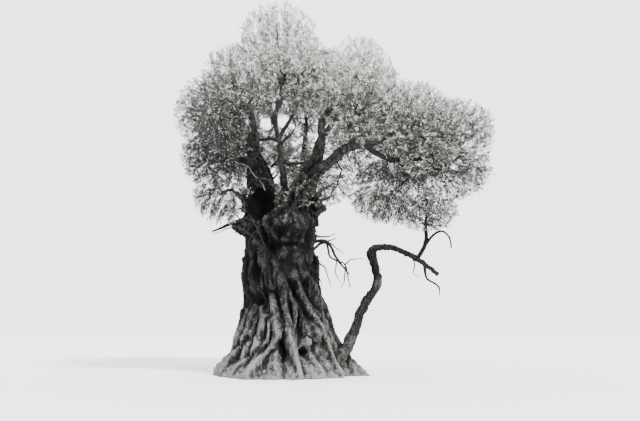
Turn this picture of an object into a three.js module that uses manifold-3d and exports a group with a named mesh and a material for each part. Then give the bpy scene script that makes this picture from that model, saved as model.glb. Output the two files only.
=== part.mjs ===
// An ancient olive tree at its real size: a fluted trunk that flares into its roots, tapering boughs, a long
// bent arm that leans out of the right-hand root, and masses of twigs whose blades each stand for a spray of
// leaves.
// Millimetres, +Z up, the origin on the flat cut under the trunk. The main view looks along +Y.

import * as THREE from "three";
import { mergeVertices } from "three/addons/utils/BufferGeometryUtils.js";
import Module from "manifold-3d";

const wasm = await Module();
wasm.setup();

// Driving dimensions of the trunk. Its angles run in degrees from the front, -Y, round to the right, +X.
const CLEARANCE = 0.3; // between a limb and what it grows from
const SEAT_MARGIN = 45; // between a limb's seat and its parent's surface
const FOOT_X = -100; // the trunk's axis at the ground, and how far it leans left by the waist
const LEAN = -130;
const WAIST_HEIGHT = 2600;
const WAIST_RADIUS = 1000; // of the ridges, above the root flare
const FLARE_HEIGHT = 1100; // over which the flare falls to a third
const SHOULDER = 90; // the trunk widens by this towards its fork
const SHOULDER_FOOT = 3600;
const CROWN_FOOT = 4300; // where the trunk's top begins to close in between the boughs
const CROWN_TOP = 5230;
const FURROW = { depth: 150, change: 0.45, length: 1700 }; // between two ridges, deep and shallow by turns
const ROOT_FURROW = { depth: 230, height: 850 }; // what the roots add to it at the ground
const FURROW_SHARPNESS = 2.2;
const SWELLING = { size: 45, length: 1350 }; // of each ridge along its length
const MEANDER = { degrees: 4.2, length: 1900 }; // of each ridge to either side
const COLUMNS_PER_RIB = 4;
const TRUNK_ROWS = [
  0, 130, 330, 580, 880, 1230, 1620, 2040, 2480, 2920, 3360, 3800, 4220, 4560, 4840, 5050, 5180,
];

// Each rib: its angle at the fork, its angle at the ground, and how far its root reaches from the axis.
const RIBS = [
  { top: -88, foot: -87, reach: 2030 },
  { top: -65, foot: -67, reach: 1900 },
  { top: -43, foot: -47, reach: 1960 },
  { top: -22, foot: -27, reach: 2060 },
  { top: -5, foot: -8, reach: 1880 },
  { top: 10, foot: 11, reach: 2010 },
  { top: 25, foot: 31, reach: 1900 },
  { top: 43, foot: 53, reach: 2020 },
  { top: 64, foot: 70, reach: 1840 },
  { top: 86, foot: 82, reach: 2440 },
];
const BACK_RIBS = { count: 7, first: 109, last: 249, reach: 1880, reachSway: 170 };
for (let i = 0; i < BACK_RIBS.count; i++) {
  const angle = THREE.MathUtils.lerp(BACK_RIBS.first, BACK_RIBS.last, i / (BACK_RIBS.count - 1));
  RIBS.push({ top: angle, foot: angle, reach: BACK_RIBS.reach + BACK_RIBS.reachSway * Math.sin(2.4 * i) });
}

// Hollows and burls in the trunk's side: depth is inward, so a burl's is negative.
const PITS = [
  { angle: 30, height: 560, wide: 9, tall: 230, depth: 330 },
  { angle: 2, height: 720, wide: 5, tall: 260, depth: 240 },
  { angle: -37, height: 620, wide: 5, tall: 300, depth: 230 },
  { angle: -57, height: 1150, wide: 6, tall: 380, depth: 220 },
  { angle: -40, height: 2080, wide: 16, tall: 170, depth: 240 },
  { angle: 46, height: 2400, wide: 6, tall: 230, depth: 260 },
  { angle: 24, height: 1250, wide: 4, tall: 420, depth: 180 },
  { angle: 22, height: 4150, wide: 24, tall: 420, depth: -170 },
  { angle: -14, height: 3560, wide: 16, tall: 300, depth: 170 },
  { angle: 34, height: 2900, wide: 13, tall: 300, depth: -110 },
  { angle: 68, height: 3100, wide: 12, tall: 320, depth: -70 },
  { angle: 80, height: 4780, wide: 26, tall: 330, depth: -330 },
  { angle: -82, height: 4080, wide: 13, tall: 200, depth: -190 },
  { angle: -60, height: 2900, wide: 12, tall: 420, depth: -60 },
];

// The dark hollow where an old limb was lost, an egg-shaped void at the foot of the left bough.
const HOLLOW = { centre: [-760, -760, 4760], radii: [330, 620, 430] };

// Limbs: the points that each passes through after it leaves its parent, and its radii from foot to tip.
// A limb with at: 1 goes on from its parent's tip.
const LIMBS = [
  {
    name: "bough_left", parent: "trunk", from: [-760, 60, 3900],
    through: [[-880, 60, 5120], [-1030, 50, 5950], [-960, 50, 6600], [-1060, 50, 7150]],
    radii: [480, 350, 215, 120, 92],
  },
  {
    name: "bough_middle", parent: "trunk", from: [-40, 100, 4200],
    through: [[-130, 150, 5250], [-210, 150, 5900], [-290, 150, 6560], [-430, 150, 7080]],
    radii: [150, 105, 92, 82, 72],
  },
  {
    name: "bough_right", parent: "trunk", from: [260, 0, 3950],
    through: [[420, 0, 5200], [740, 0, 5950], [900, 20, 6500], [930, 60, 7080], [1170, 60, 7560]],
    radii: [470, 330, 190, 150, 112, 84],
  },
  {
    name: "bough_right_long", parent: "bough_right", at: 0.26,
    through: [[1080, -330, 5830], [1540, -340, 6230], [2040, -300, 6420], [2520, -260, 6500]],
    radii: [190, 160, 140, 118, 100],
  },
  {
    name: "bough_back_left", parent: "trunk", from: [-350, 250, 4200],
    through: [[-520, 800, 5200], [-760, 1150, 5950], [-1000, 1400, 6500]],
    radii: [330, 210, 140, 100],
  },
  {
    name: "bough_back", parent: "trunk", from: [150, 250, 4200],
    through: [[300, 1000, 5300], [420, 1500, 6150], [420, 1850, 6950]],
    radii: [320, 200, 130, 90],
  },
  {
    name: "bough_top", parent: "bough_middle", at: 1,
    through: [[-250, 190, 7800], [-270, 210, 8280]],
    radii: [68, 52],
  },
  {
    name: "bough_top_right", parent: "bough_middle", at: 0.8,
    through: [[-20, 190, 7180], [260, 230, 7780]],
    radii: [60, 46],
  },
  {
    name: "bough_front_top", parent: "bough_middle", at: 0.93,
    through: [[-330, -450, 7560], [-120, -880, 8080]],
    radii: [58, 42],
  },
  {
    name: "bough_upper_left", parent: "bough_left", at: 1,
    through: [[-1150, 40, 7560], [-1330, 40, 7950]],
    radii: [84, 58],
  },
  {
    name: "bough_left_outer", parent: "bough_left", at: 0.72,
    through: [[-1400, 0, 7150], [-1720, -20, 7540]],
    radii: [66, 46],
  },
  {
    name: "bough_left_low", parent: "bough_left", at: 0.42,
    through: [[-1420, 110, 6080], [-1600, 130, 6160]],
    radii: [88, 60],
  },
  {
    name: "bough_front_left", parent: "bough_left", at: 0.62,
    through: [[-1130, -640, 6560], [-1260, -1150, 6840]],
    radii: [76, 52],
  },
  {
    name: "bough_left_hanging", parent: "trunk", from: [-760, -150, 4380],
    through: [[-1330, -330, 4900], [-1500, -380, 5020]],
    radii: [120, 80, 55],
  },
  {
    name: "bough_right_shoulder", parent: "bough_right", at: 0.64,
    through: [[1290, 110, 7200], [1600, 130, 7740]],
    radii: [88, 58],
  },
  {
    name: "bough_right_mid", parent: "bough_right_long", at: 1,
    through: [[2780, -160, 6640], [3000, -80, 6800]],
    radii: [92, 62],
  },
  {
    name: "bough_front_right", parent: "bough_right_long", at: 0.62,
    through: [[1720, -900, 6700], [1790, -1300, 6960]],
    radii: [80, 52],
  },
  {
    name: "bough_right_far", parent: "bough_right_long", at: 0.82,
    through: [[2420, -330, 6160], [3000, -330, 5960], [3660, -300, 5990], [4260, -260, 6190]],
    radii: [84, 78, 66, 56, 44],
  },
  {
    name: "bough_far_right", parent: "bough_right_far", at: 1,
    through: [[4420, -220, 6300], [4560, -180, 6420]],
    radii: [44, 38],
  },
  {
    name: "bough_far_low", parent: "bough_right_far", at: 0.82,
    through: [[4080, -330, 5720], [4260, -330, 5640]],
    radii: [42, 32],
  },
  {
    name: "bough_front_far", parent: "bough_right_far", at: 0.5,
    through: [[3060, -860, 6230], [3160, -1150, 6420]],
    radii: [52, 38],
  },
  {
    name: "bough_back_far", parent: "bough_right_far", at: 0.42,
    through: [[3000, 360, 6050], [3180, 760, 6240]],
    radii: [56, 42],
  },
  {
    name: "bough_right_under", parent: "bough_right_far", at: 0.62,
    through: [[3220, -60, 5700], [3270, 0, 5600]],
    radii: [46, 34],
  },
  {
    name: "bough_back_top", parent: "bough_back", at: 1,
    through: [[430, 2050, 7300], [440, 2180, 7520]],
    radii: [84, 62],
  },
  {
    name: "bough_back_right", parent: "bough_back", at: 0.55,
    through: [[1060, 1750, 6260], [1480, 1950, 6680]],
    radii: [100, 62],
  },
  {
    name: "bough_back_low", parent: "bough_back", at: 0.72,
    through: [[560, 2160, 6150], [640, 2400, 6170]],
    radii: [72, 48],
  },
  {
    name: "arm_lower", parent: "trunk", from: [1330, -330, 260],
    through: [
      [1720, -420, 1050], [2080, -430, 1880], [2450, -430, 2500], [2400, -430, 2900], [2310, -430, 3260],
    ],
    radii: [190, 150, 132, 118, 112, 132],
  },
  {
    name: "arm_upper", parent: "arm_lower", at: 1,
    through: [
      [2420, -430, 3470], [2900, -430, 3470], [3340, -430, 3270], [3720, -430, 3040], [4130, -430, 2720],
    ],
    radii: [132, 118, 92, 80, 72, 62],
  },
  {
    name: "arm_shoot", parent: "arm_upper", at: 0.76,
    through: [[3790, -430, 3620], [3800, -420, 4020]],
    radii: [64, 46],
  },
  {
    name: "arm_shoot_arched", parent: "arm_shoot", at: 0.3,
    through: [[3970, -470, 3790], [4250, -480, 3930], [4440, -470, 3740], [4500, -450, 3450]],
    radii: [40, 38, 32, 26, 18],
  },
  {
    name: "arm_shoot_hanging", parent: "arm_upper", at: 0.84,
    through: [[3790, -500, 2640], [4020, -530, 2480], [4130, -540, 2340], [4110, -540, 2110]],
    radii: [38, 32, 26, 20, 13],
  },
  {
    name: "dead_branch_left", parent: "trunk", from: [-1100, -300, 4330],
    through: [[-1640, -420, 4110], [-2100, -480, 3910]],
    radii: [80, 48, 24],
  },
  {
    name: "dead_branch_right", parent: "trunk", from: [480, -330, 3600],
    through: [[1060, -520, 3640], [1330, -560, 3180], [1670, -600, 2740]],
    radii: [60, 44, 34, 22],
  },
];

// Masses of foliage: the limb whose tip each grows from, the middle of its space and the reach from there.
const MASSES = [
  {
    name: "crown_top", limb: "bough_top",
    centre: [-350, 200, 9350], reach: [1230, 1400, 1380], sprays: 24,
  },
  {
    name: "crown_upper_left", limb: "bough_upper_left",
    centre: [-1600, 50, 8310], reach: [920, 1400, 1160], sprays: 19,
  },
  {
    name: "crown_left", limb: "bough_left_outer",
    centre: [-2250, -50, 7350], reach: [1020, 1300, 1100], sprays: 16,
  },
  {
    name: "crown_left_low", limb: "bough_left_low",
    centre: [-2000, 150, 6150], reach: [1100, 1200, 1000], sprays: 16, droop: 0.15,
  },
  {
    name: "crown_left_hanging", limb: "bough_left_hanging",
    centre: [-1900, -380, 5000], reach: [750, 850, 850], sprays: 11, droop: 0.6,
  },
  {
    name: "crown_top_right", limb: "bough_top_right",
    centre: [950, 200, 8350], reach: [1200, 1350, 1040], sprays: 17,
  },
  {
    name: "crown_right_shoulder", limb: "bough_right_shoulder",
    centre: [1950, 100, 8400], reach: [1040, 1350, 1280], sprays: 19,
  },
  {
    name: "crown_right_mid", limb: "bough_right_mid",
    centre: [3360, 50, 7200], reach: [1300, 1350, 1140], sprays: 19,
  },
  {
    name: "crown_far_right", limb: "bough_far_right",
    centre: [4700, -100, 6780], reach: [1200, 1300, 960], sprays: 20,
  },
  {
    name: "crown_far_low", limb: "bough_far_low",
    centre: [4600, -330, 5650], reach: [1100, 1050, 800], sprays: 13, droop: 0.3,
  },
  {
    name: "crown_right_under", limb: "bough_right_under",
    centre: [2950, 250, 5150], reach: [1300, 1150, 950], sprays: 19, droop: 0.5,
  },
  {
    name: "crown_arm", limb: "arm_shoot",
    centre: [3840, -450, 4520], reach: [860, 850, 620], sprays: 11, droop: 0.3,
  },
  {
    name: "crown_front_left", limb: "bough_front_left",
    centre: [-1250, -1750, 6950], reach: [1300, 1150, 1200], sprays: 17,
  },
  {
    name: "crown_front_top", limb: "bough_front_top",
    centre: [300, -1500, 8020], reach: [1220, 1200, 1080], sprays: 16,
  },
  {
    name: "crown_front_right", limb: "bough_front_right",
    centre: [1900, -1800, 7200], reach: [1350, 1200, 1200], sprays: 18,
  },
  {
    name: "crown_front_far", limb: "bough_front_far",
    centre: [3500, -1600, 6550], reach: [1250, 1100, 1050], sprays: 15,
  },
  {
    name: "crown_back_far", limb: "bough_back_far",
    centre: [3700, 1600, 6600], reach: [1250, 1150, 1100], sprays: 15,
  },
  {
    name: "crown_back_top", limb: "bough_back_top",
    centre: [350, 2250, 8300], reach: [1450, 1300, 1300], sprays: 18,
  },
  {
    name: "crown_back_left", limb: "bough_back_left",
    centre: [-1450, 1950, 7100], reach: [1400, 1300, 1300], sprays: 17,
  },
  {
    name: "crown_back_right", limb: "bough_back_right",
    centre: [2100, 2200, 7200], reach: [1400, 1250, 1300], sprays: 18,
  },
  {
    name: "crown_back_low", limb: "bough_back_low",
    centre: [750, 2950, 6000], reach: [1200, 1000, 1000], sprays: 13,
  },
];

// Gaps in the crown that show sky: sight lines from the viewer's eye through these points, with their radii.
const EYE = [880, -22400, 1500];
const SKY_GAPS = [
  { through: [-180, 0, 7150], radius: 190 },
  { through: [-640, 0, 7080], radius: 170 },
  { through: [900, 0, 6620], radius: 150 },
  { through: [-620, 0, 6350], radius: 300 },
  { through: [-560, 0, 5650], radius: 300 },
  { through: [70, 0, 6250], radius: 230 },
  { through: [60, 0, 5620], radius: 240 },
];

// Stretches of bough with nothing before them, in the same form.
const BARE_BOUGHS = [
  { through: [-1020, 0, 5950], radius: 340 },
  { through: [-980, 0, 6600], radius: 260 },
  { through: [-1060, 0, 7100], radius: 200 },
  { through: [-210, 0, 5900], radius: 240 },
  { through: [-290, 0, 6560], radius: 220 },
  { through: [-420, 0, 7080], radius: 200 },
  { through: [-260, 0, 7600], radius: 180 },
  { through: [600, 0, 5600], radius: 360 },
  { through: [840, 0, 6250], radius: 280 },
  { through: [930, 0, 7000], radius: 240 },
  { through: [1150, 0, 7500], radius: 200 },
  { through: [1250, 0, 6020], radius: 260 },
  { through: [1750, 0, 6350], radius: 220 },
  { through: [2300, 0, 6380], radius: 170 },
  { through: [3000, 0, 5980], radius: 150 },
  { through: [3660, 0, 6000], radius: 130 },
];

// How a mass grows.
const SEED = 7;
const SPACE_MARGIN = 0.07; // of a mass's reach, kept clear at a neighbour's space
const LIMB_MARGIN = 45; // between a twig or blade and a limb
const UPWARD = 0.25; // how strongly sprays turn to the sky, where a mass has no droop
const STEP_DOWN = 0.12; // by which a line that isn't free is shortened

// The stem runs on past the middle of the space by a share of the way there, bent up or down at its end.
const STEM = { past: 0.35, bend: 0.3, tipRadius: 22, sides: 5, steps: 3, nodes: 10 };

// A spray is one blade. Sprays are spread through a mass's free space, none near another, and point away from
// the bough's tip, each swayed some way. Each is as long as its way ahead is free, between two lengths.
const SPRAY = {
  tries: 3000, sway: 1.1, least: 640, most: 1050, shortest: 0.6, room: 0.1, apart: 440,
  width: 0.42, thickness: 0.06, sunk: 5, held: 0.12,
};

// A spray's twig leaves the wood before it where the way to the spray is shortest, the way there from the
// stem's foot counting less. Twigs can leave the stem and other twigs at steps along them.
const TWIG = { radius: 24, wayWeight: 0.35, choices: 4, step: 150 };

// Colours: grey bark, greyer dead wood and silvery leaves.
const BARK = new THREE.MeshStandardMaterial({ color: 0x6b665e, roughness: 0.95, metalness: 0 });
const LEAVES = new THREE.MeshStandardMaterial({ color: 0x8b917e, roughness: 0.7, metalness: 0 });

const { clamp, degToRad, lerp, smoothstep } = THREE.MathUtils;

// Seeded numbers from 0 to 1, the same on every run.
function seeded(seed) {
  let state = seed >>> 0;
  return () => {
    state = (Math.imul(state, 1664525) + 1013904223) >>> 0;
    return state / 4294967296;
  };
}

// Solids

function solidOf(geometry) {
  const plain = geometry.clone();
  plain.deleteAttribute("normal");
  plain.deleteAttribute("uv");
  const merged = mergeVertices(plain, 1e-3);
  return new wasm.Manifold(
    new wasm.Mesh({
      numProp: 3,
      vertProperties: new Float32Array(merged.getAttribute("position").array),
      triVerts: new Uint32Array(merged.index.array),
    }),
  );
}

function meshOf(name, solid, material) {
  const largest = solid.decompose().reduce((a, b) => (b.volume() > a.volume() ? b : a));
  const { numProp, numVert, vertProperties, triVerts } = largest.getMesh();
  const positions = new Float32Array(numVert * 3);
  for (let i = 0; i < numVert; i++) {
    positions.set(vertProperties.subarray(i * numProp, i * numProp + 3), i * 3);
  }
  const geometry = new THREE.BufferGeometry()
    .setAttribute("position", new THREE.BufferAttribute(positions, 3))
    .setIndex(new THREE.BufferAttribute(triVerts, 1));
  geometry.computeVertexNormals();
  const mesh = new THREE.Mesh(geometry, material);
  mesh.name = name;
  return mesh;
}

// Trunk

function ribAngle(k, height) {
  const { foot, top } = RIBS[k];
  const wander = MEANDER.degrees * Math.sin((2 * Math.PI * height) / MEANDER.length + 2.6 * k);
  const straight = lerp(foot, top, smoothstep(height, 0, WAIST_HEIGHT));
  return degToRad(straight + wander * smoothstep(height, 0, FLARE_HEIGHT));
}

function ridgeRadius(k, height) {
  const flare = (RIBS[k].reach - WAIST_RADIUS) * Math.exp(-height / FLARE_HEIGHT);
  const shoulder = SHOULDER * smoothstep(height, SHOULDER_FOOT, CROWN_FOOT);
  const swelling = SWELLING.size * Math.sin((2 * Math.PI * height) / SWELLING.length + 2.1 * k);
  return WAIST_RADIUS + flare + shoulder + swelling;
}

function furrowDepth(k, height) {
  const change = 1 + FURROW.change * Math.sin((2 * Math.PI * height) / FURROW.length + 1.7 * k);
  return FURROW.depth * change + ROOT_FURROW.depth * Math.exp(-height / ROOT_FURROW.height);
}

function pitDepth(angle, height) {
  let depth = 0;
  for (const pit of PITS) {
    let turn = angle - degToRad(pit.angle);
    turn -= 2 * Math.PI * Math.round(turn / (2 * Math.PI));
    const across = turn / degToRad(pit.wide);
    const along = (height - pit.height) / pit.tall;
    depth += pit.depth * Math.exp(-across * across - along * along);
  }
  return depth;
}

// The trunk's surface between rib k and the next, at share 0 on the first ridge and 1 on the second.
function trunkPoint(k, share, height) {
  const next = (k + 1) % RIBS.length;
  const turn = next === 0 ? 2 * Math.PI : 0;
  const angle = lerp(ribAngle(k, height), ribAngle(next, height) + turn, share);
  const ridge = lerp(ridgeRadius(k, height), ridgeRadius(next, height), smoothstep(share, 0, 1));
  const offRidge = 1 - Math.abs(2 * share - 1);
  const furrow = furrowDepth(k, height) * Math.pow(offRidge, FURROW_SHARPNESS);
  const closing = clamp((height - CROWN_FOOT) / (CROWN_TOP - CROWN_FOOT), 0, 1);
  const radius = (ridge - furrow - pitDepth(angle, height)) * Math.sqrt(1 - closing ** 3);
  return { angle, radius };
}

function axisX(height) {
  return FOOT_X + LEAN * smoothstep(height, 0, WAIST_HEIGHT);
}

function trunkBody() {
  const columns = RIBS.length * COLUMNS_PER_RIB;
  const rows = TRUNK_ROWS.length - 1;
  const geometry = new THREE.CylinderGeometry(1, 1, rows, columns, rows);
  const position = geometry.getAttribute("position");
  for (let i = 0; i < position.count; i++) {
    const [x, y, z] = [position.getX(i), position.getY(i), position.getZ(i)];
    const height = TRUNK_ROWS[Math.round(y + rows / 2)];
    if (Math.hypot(x, z) < 0.5) {
      position.setXYZ(i, axisX(height), 0, height);
      continue;
    }
    const column = Math.round((Math.atan2(x, z) / (2 * Math.PI)) * columns + columns) % columns;
    const rib = Math.floor(column / COLUMNS_PER_RIB);
    const { angle, radius } = trunkPoint(rib, (column % COLUMNS_PER_RIB) / COLUMNS_PER_RIB, height);
    position.setXYZ(i, axisX(height) + radius * Math.sin(angle), -radius * Math.cos(angle), height);
  }
  return solidOf(geometry);
}

// How far a point is outside the trunk's body. Negative inside.
function outsideTrunk(point) {
  if (point.z > CROWN_TOP) return point.z - CROWN_TOP;
  const [x, y] = [point.x - axisX(point.z), point.y];
  let angle = Math.atan2(x, -y);
  if (angle < ribAngle(0, point.z)) angle += 2 * Math.PI;
  let k = RIBS.length - 1;
  while (k > 0 && ribAngle(k, point.z) > angle) k -= 1;
  const from = ribAngle(k, point.z);
  const to = k + 1 < RIBS.length ? ribAngle(k + 1, point.z) : ribAngle(0, point.z) + 2 * Math.PI;
  return Math.hypot(x, y) - trunkPoint(k, (angle - from) / (to - from), point.z).radius;
}

// Limbs

class Limb {
  // facing: the direction that its first section is square to, where it goes on from another limb's flat end
  constructor(points, radii, facing = null) {
    this.points = points;
    this.radii = radii;
    this.facing = facing;
    this.curve = new THREE.CatmullRomCurve3(points, false, "catmullrom", 0.5);
    const chord = points.at(-1).clone().sub(points[0]);
    const upright = Math.abs(chord.z) > 0.8 * chord.length();
    const aside = upright ? new THREE.Vector3(0, 1, 0) : new THREE.Vector3(0, 0, 1);
    this.reference = new THREE.Vector3().crossVectors(chord, aside).normalize();
  }

  point(t) {
    return this.curve.getPoint(t);
  }

  tangent(t) {
    const step = 1e-3;
    return this.point(Math.min(1, t + step)).sub(this.point(Math.max(0, t - step))).normalize();
  }

  radius(t) {
    const place = t * (this.radii.length - 1);
    const i = Math.min(Math.floor(place), this.radii.length - 2);
    return lerp(this.radii[i], this.radii[i + 1], place - i);
  }

  // Two directions across the limb.
  across(t) {
    const along = t === 0 && this.facing ? this.facing : this.tangent(t);
    const first = this.reference.clone().addScaledVector(along, -this.reference.dot(along)).normalize();
    return [first, new THREE.Vector3().crossVectors(first, along)];
  }

  // A cylinder bent along the limb from share a to share b of it.
  solid(a, b, sides, steps, moved = new THREE.Vector3()) {
    const geometry = new THREE.CylinderGeometry(1, 1, 1, sides, steps);
    const position = geometry.getAttribute("position");
    for (let i = 0; i < position.count; i++) {
      const t = lerp(a, b, position.getY(i) + 0.5);
      const [u, v] = this.across(t);
      const point = this.point(t)
        .addScaledVector(u, position.getX(i) * this.radius(t))
        .addScaledVector(v, position.getZ(i) * this.radius(t))
        .add(moved);
      position.setXYZ(i, point.x, point.y, point.z);
    }
    return solidOf(geometry);
  }

  distance(point) {
    let best = Infinity;
    const samples = SAMPLES_PER_POINT * (this.points.length - 1);
    for (let i = 0; i <= samples; i++) {
      const t = i / samples;
      best = Math.min(best, this.point(t).distanceTo(point) - this.radius(t));
    }
    return best;
  }
}

const SAMPLES_PER_POINT = 6;
const STEPS_PER_POINT = 1.6;
const THICK = 140; // radii at the foot from which a limb has eight sides, or six
const MIDDLING = 90;

function sidesOf(limb) {
  if (limb.radii[0] > THICK) return 8;
  return limb.radii[0] > MIDDLING ? 6 : 5;
}

// The foot of a limb, from its root to the clearance short of its seat, is fused to what the limb grows from.
function collarOf({ limb, seat }, steps) {
  return limb.solid(0, seat, sidesOf(limb), steps, limb.tangent(seat).multiplyScalar(-CLEARANCE));
}

// The share of a limb at which its whole section is clear of what it grows from.
function seatOf(limb, isClear) {
  for (let t = 0; t < 1; t += 0.01) {
    const [u, v] = limb.across(t);
    const ring = [[1, 0], [0, 1], [-1, 0], [0, -1]].map(([a, b]) =>
      limb.point(t).addScaledVector(u, a * limb.radius(t)).addScaledVector(v, b * limb.radius(t)),
    );
    if (ring.every(isClear)) return t;
  }
  throw new Error("a limb never gets clear of its parent");
}

// A limb that goes on from another's flat end, the clearance away from it.
function growOn(parent, through, radii) {
  const facing = parent.tangent(1);
  const start = parent.point(1).addScaledVector(facing, CLEARANCE);
  const lead = start.clone().addScaledVector(facing, 0.3 * start.distanceTo(through[0]));
  return new Limb([start, lead, ...through], radii, facing);
}

const vector = (values) => new THREE.Vector3(...values);
const limbs = new Map();
for (const row of LIMBS) {
  const parent = limbs.get(row.parent);
  const atTip = row.at === 1;
  const through = row.through.map(vector);
  const limb = atTip
    ? growOn(parent.limb, through, row.radii)
    : new Limb([parent ? parent.limb.point(row.at) : vector(row.from), ...through], row.radii);
  limbs.set(row.name, { ...row, limb, seat: 0, collars: [] });
}

// Each limb that leaves its parent's side is seated where it is clear of the parent and of its other limbs.
for (const row of limbs.values()) {
  if (row.at === 1) continue;
  const parent = limbs.get(row.parent);
  const others = [...limbs.values()].filter((other) => other !== row && other.parent === row.parent);
  const room = (point) =>
    Math.min(
      parent ? parent.limb.distance(point) : outsideTrunk(point),
      ...others.map(({ limb }) => limb.distance(point)),
    );
  row.seat = seatOf(row.limb, (point) => room(point) > SEAT_MARGIN);
  if (parent) parent.collars.push(collarOf(row, 1));
}

const limbSamples = [...limbs.values()].flatMap(({ limb }) => {
  const count = SAMPLES_PER_POINT * (limb.points.length - 1);
  return Array.from({ length: count + 1 }, (_, i) => ({
    point: limb.point(i / count),
    radius: limb.radius(i / count),
  }));
});

function limbSolid({ limb, seat, collars }) {
  const sides = sidesOf(limb);
  const steps = Math.ceil(STEPS_PER_POINT * (limb.points.length - 1) * (1 - seat));
  return collars.reduce((solid, collar) => solid.add(collar), limb.solid(seat, 1, sides, steps));
}

function trunkSolid() {
  let solid = trunkBody();
  for (const row of limbs.values()) if (row.parent === "trunk") solid = solid.add(collarOf(row, 2));
  const hollow = new THREE.IcosahedronGeometry(1, 1);
  hollow.scale(...HOLLOW.radii).translate(...HOLLOW.centre);
  return solid.subtract(solidOf(hollow));
}

// Foliage

// A mass's own measure of distance: 1 at the edge of its reach.
function measure(mass, point) {
  const [x, y, z] = ["x", "y", "z"].map((axis, i) => (point[axis] - mass.centre[i]) / mass.reach[i]);
  return Math.hypot(x, y, z);
}

// Whether a point is on one of some sight lines, up to a share of the way to where the line goes through.
function isOn(sightLines, point, upTo) {
  const eye = vector(EYE);
  return sightLines.some(({ through, radius }) => {
    const sight = vector(through).sub(eye);
    const offset = point.clone().sub(eye);
    const share = offset.dot(sight) / sight.lengthSq();
    return share < upTo && offset.addScaledVector(sight, -share).length() < radius * share;
  });
}

// Inside the mass's own space, out of every neighbour's, clear of the limbs and off the open sight lines.
function isFree(mass, point, room) {
  const own = measure(mass, point);
  if (own > 1) return false;
  if (MASSES.some((other) => other !== mass && measure(other, point) < own + 2 * SPACE_MARGIN)) return false;
  if (outsideTrunk(point) < LIMB_MARGIN + room) return false;
  const clear = LIMB_MARGIN + room;
  if (limbSamples.some((sample) => sample.point.distanceTo(point) < sample.radius + clear)) return false;
  return !isOn(SKY_GAPS, point, Infinity) && !isOn(BARE_BOUGHS, point, 1);
}

function isLineFree(mass, from, to, room) {
  const shares = [0.2, 0.4, 0.6, 0.8, 1];
  return shares.every((share) => isFree(mass, from.clone().lerp(to, share), room));
}

// How far a line from a point stays free, up to a limit.
function freeLength(mass, from, heading, least, most, room) {
  for (let length = most; length >= least; length -= STEP_DOWN * most)
    if (isLineFree(mass, from, from.clone().addScaledVector(heading, length), room)) return length;
  return 0;
}

function twigSolid(from, to, radius) {
  const geometry = new THREE.ConeGeometry(radius, from.distanceTo(to), 3, 1);
  const turned = new THREE.Quaternion().setFromUnitVectors(
    new THREE.Vector3(0, 1, 0),
    to.clone().sub(from).normalize(),
  );
  geometry.applyQuaternion(turned);
  const middle = from.clone().lerp(to, 0.5);
  return solidOf(geometry.translate(middle.x, middle.y, middle.z));
}

// A blade of eight faces, flat across its heading.
function bladeSolid({ root, heading, length, roll }) {
  const geometry = new THREE.OctahedronGeometry(1, 0);
  geometry.scale((SPRAY.width * length) / 2, length / 2, (SPRAY.thickness * length) / 2);
  geometry.rotateY(roll);
  geometry.applyQuaternion(new THREE.Quaternion().setFromUnitVectors(new THREE.Vector3(0, 1, 0), heading));
  const middle = root.clone().addScaledVector(heading, length / 2 - SPRAY.sunk);
  return solidOf(geometry.translate(middle.x, middle.y, middle.z));
}

// The stem of a mass, from its bough's tip through the middle of its space.
function stemOf(mass, bough, lift) {
  const centre = vector(mass.centre);
  const far = centre.clone().add(centre.clone().sub(bough.point(1)).multiplyScalar(STEM.past));
  far.z += lift * STEM.bend * mass.reach[2];
  return growOn(bough, [centre, far], [bough.radius(1), STEM.tipRadius]);
}

function anyHeading(random) {
  const height = 2 * random() - 1;
  const turn = 2 * Math.PI * random();
  const level = Math.sqrt(1 - height * height);
  return new THREE.Vector3(level * Math.cos(turn), level * Math.sin(turn), height);
}

// The sprays of a mass, those nearest to the foot of its stem first.
function spraysOf(mass, foot, lift, random) {
  const sprays = [];
  for (let i = 0; i < SPRAY.tries && sprays.length < mass.sprays; i++) {
    const away = anyHeading(random).multiplyScalar(Math.cbrt(random()));
    const root = away.multiply(vector(mass.reach)).add(vector(mass.centre));
    const size = lerp(SPRAY.least, SPRAY.most, random());
    const roll = Math.PI * random();
    const heading = root.clone().sub(foot).normalize().addScaledVector(anyHeading(random), SPRAY.sway);
    heading.z += lift;
    heading.normalize();
    const middle = root.clone().addScaledVector(heading, 0.5 * size);
    if (sprays.some((other) => other.middle.distanceTo(middle) < SPRAY.apart)) continue;
    if (!isFree(mass, root, SPRAY.room * size)) continue;
    const length = freeLength(mass, root, heading, SPRAY.shortest * size, size, SPRAY.room * size);
    if (length > 0) sprays.push({ root, heading, length, roll, middle });
  }
  return sprays.sort((one, other) => one.root.distanceTo(foot) - other.root.distanceTo(foot));
}

// The node that a spray's twig leaves, or undefined where every one near it is shut off.
function nodeFor(mass, nodes, root) {
  return nodes
    .map((node) => ({ node, cost: node.point.distanceTo(root) + TWIG.wayWeight * node.way }))
    .sort((one, other) => one.cost - other.cost)
    .slice(0, TWIG.choices)
    .map(({ node }) => node)
    .find((node) => isLineFree(mass, node.point, root, TWIG.radius));
}

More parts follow.
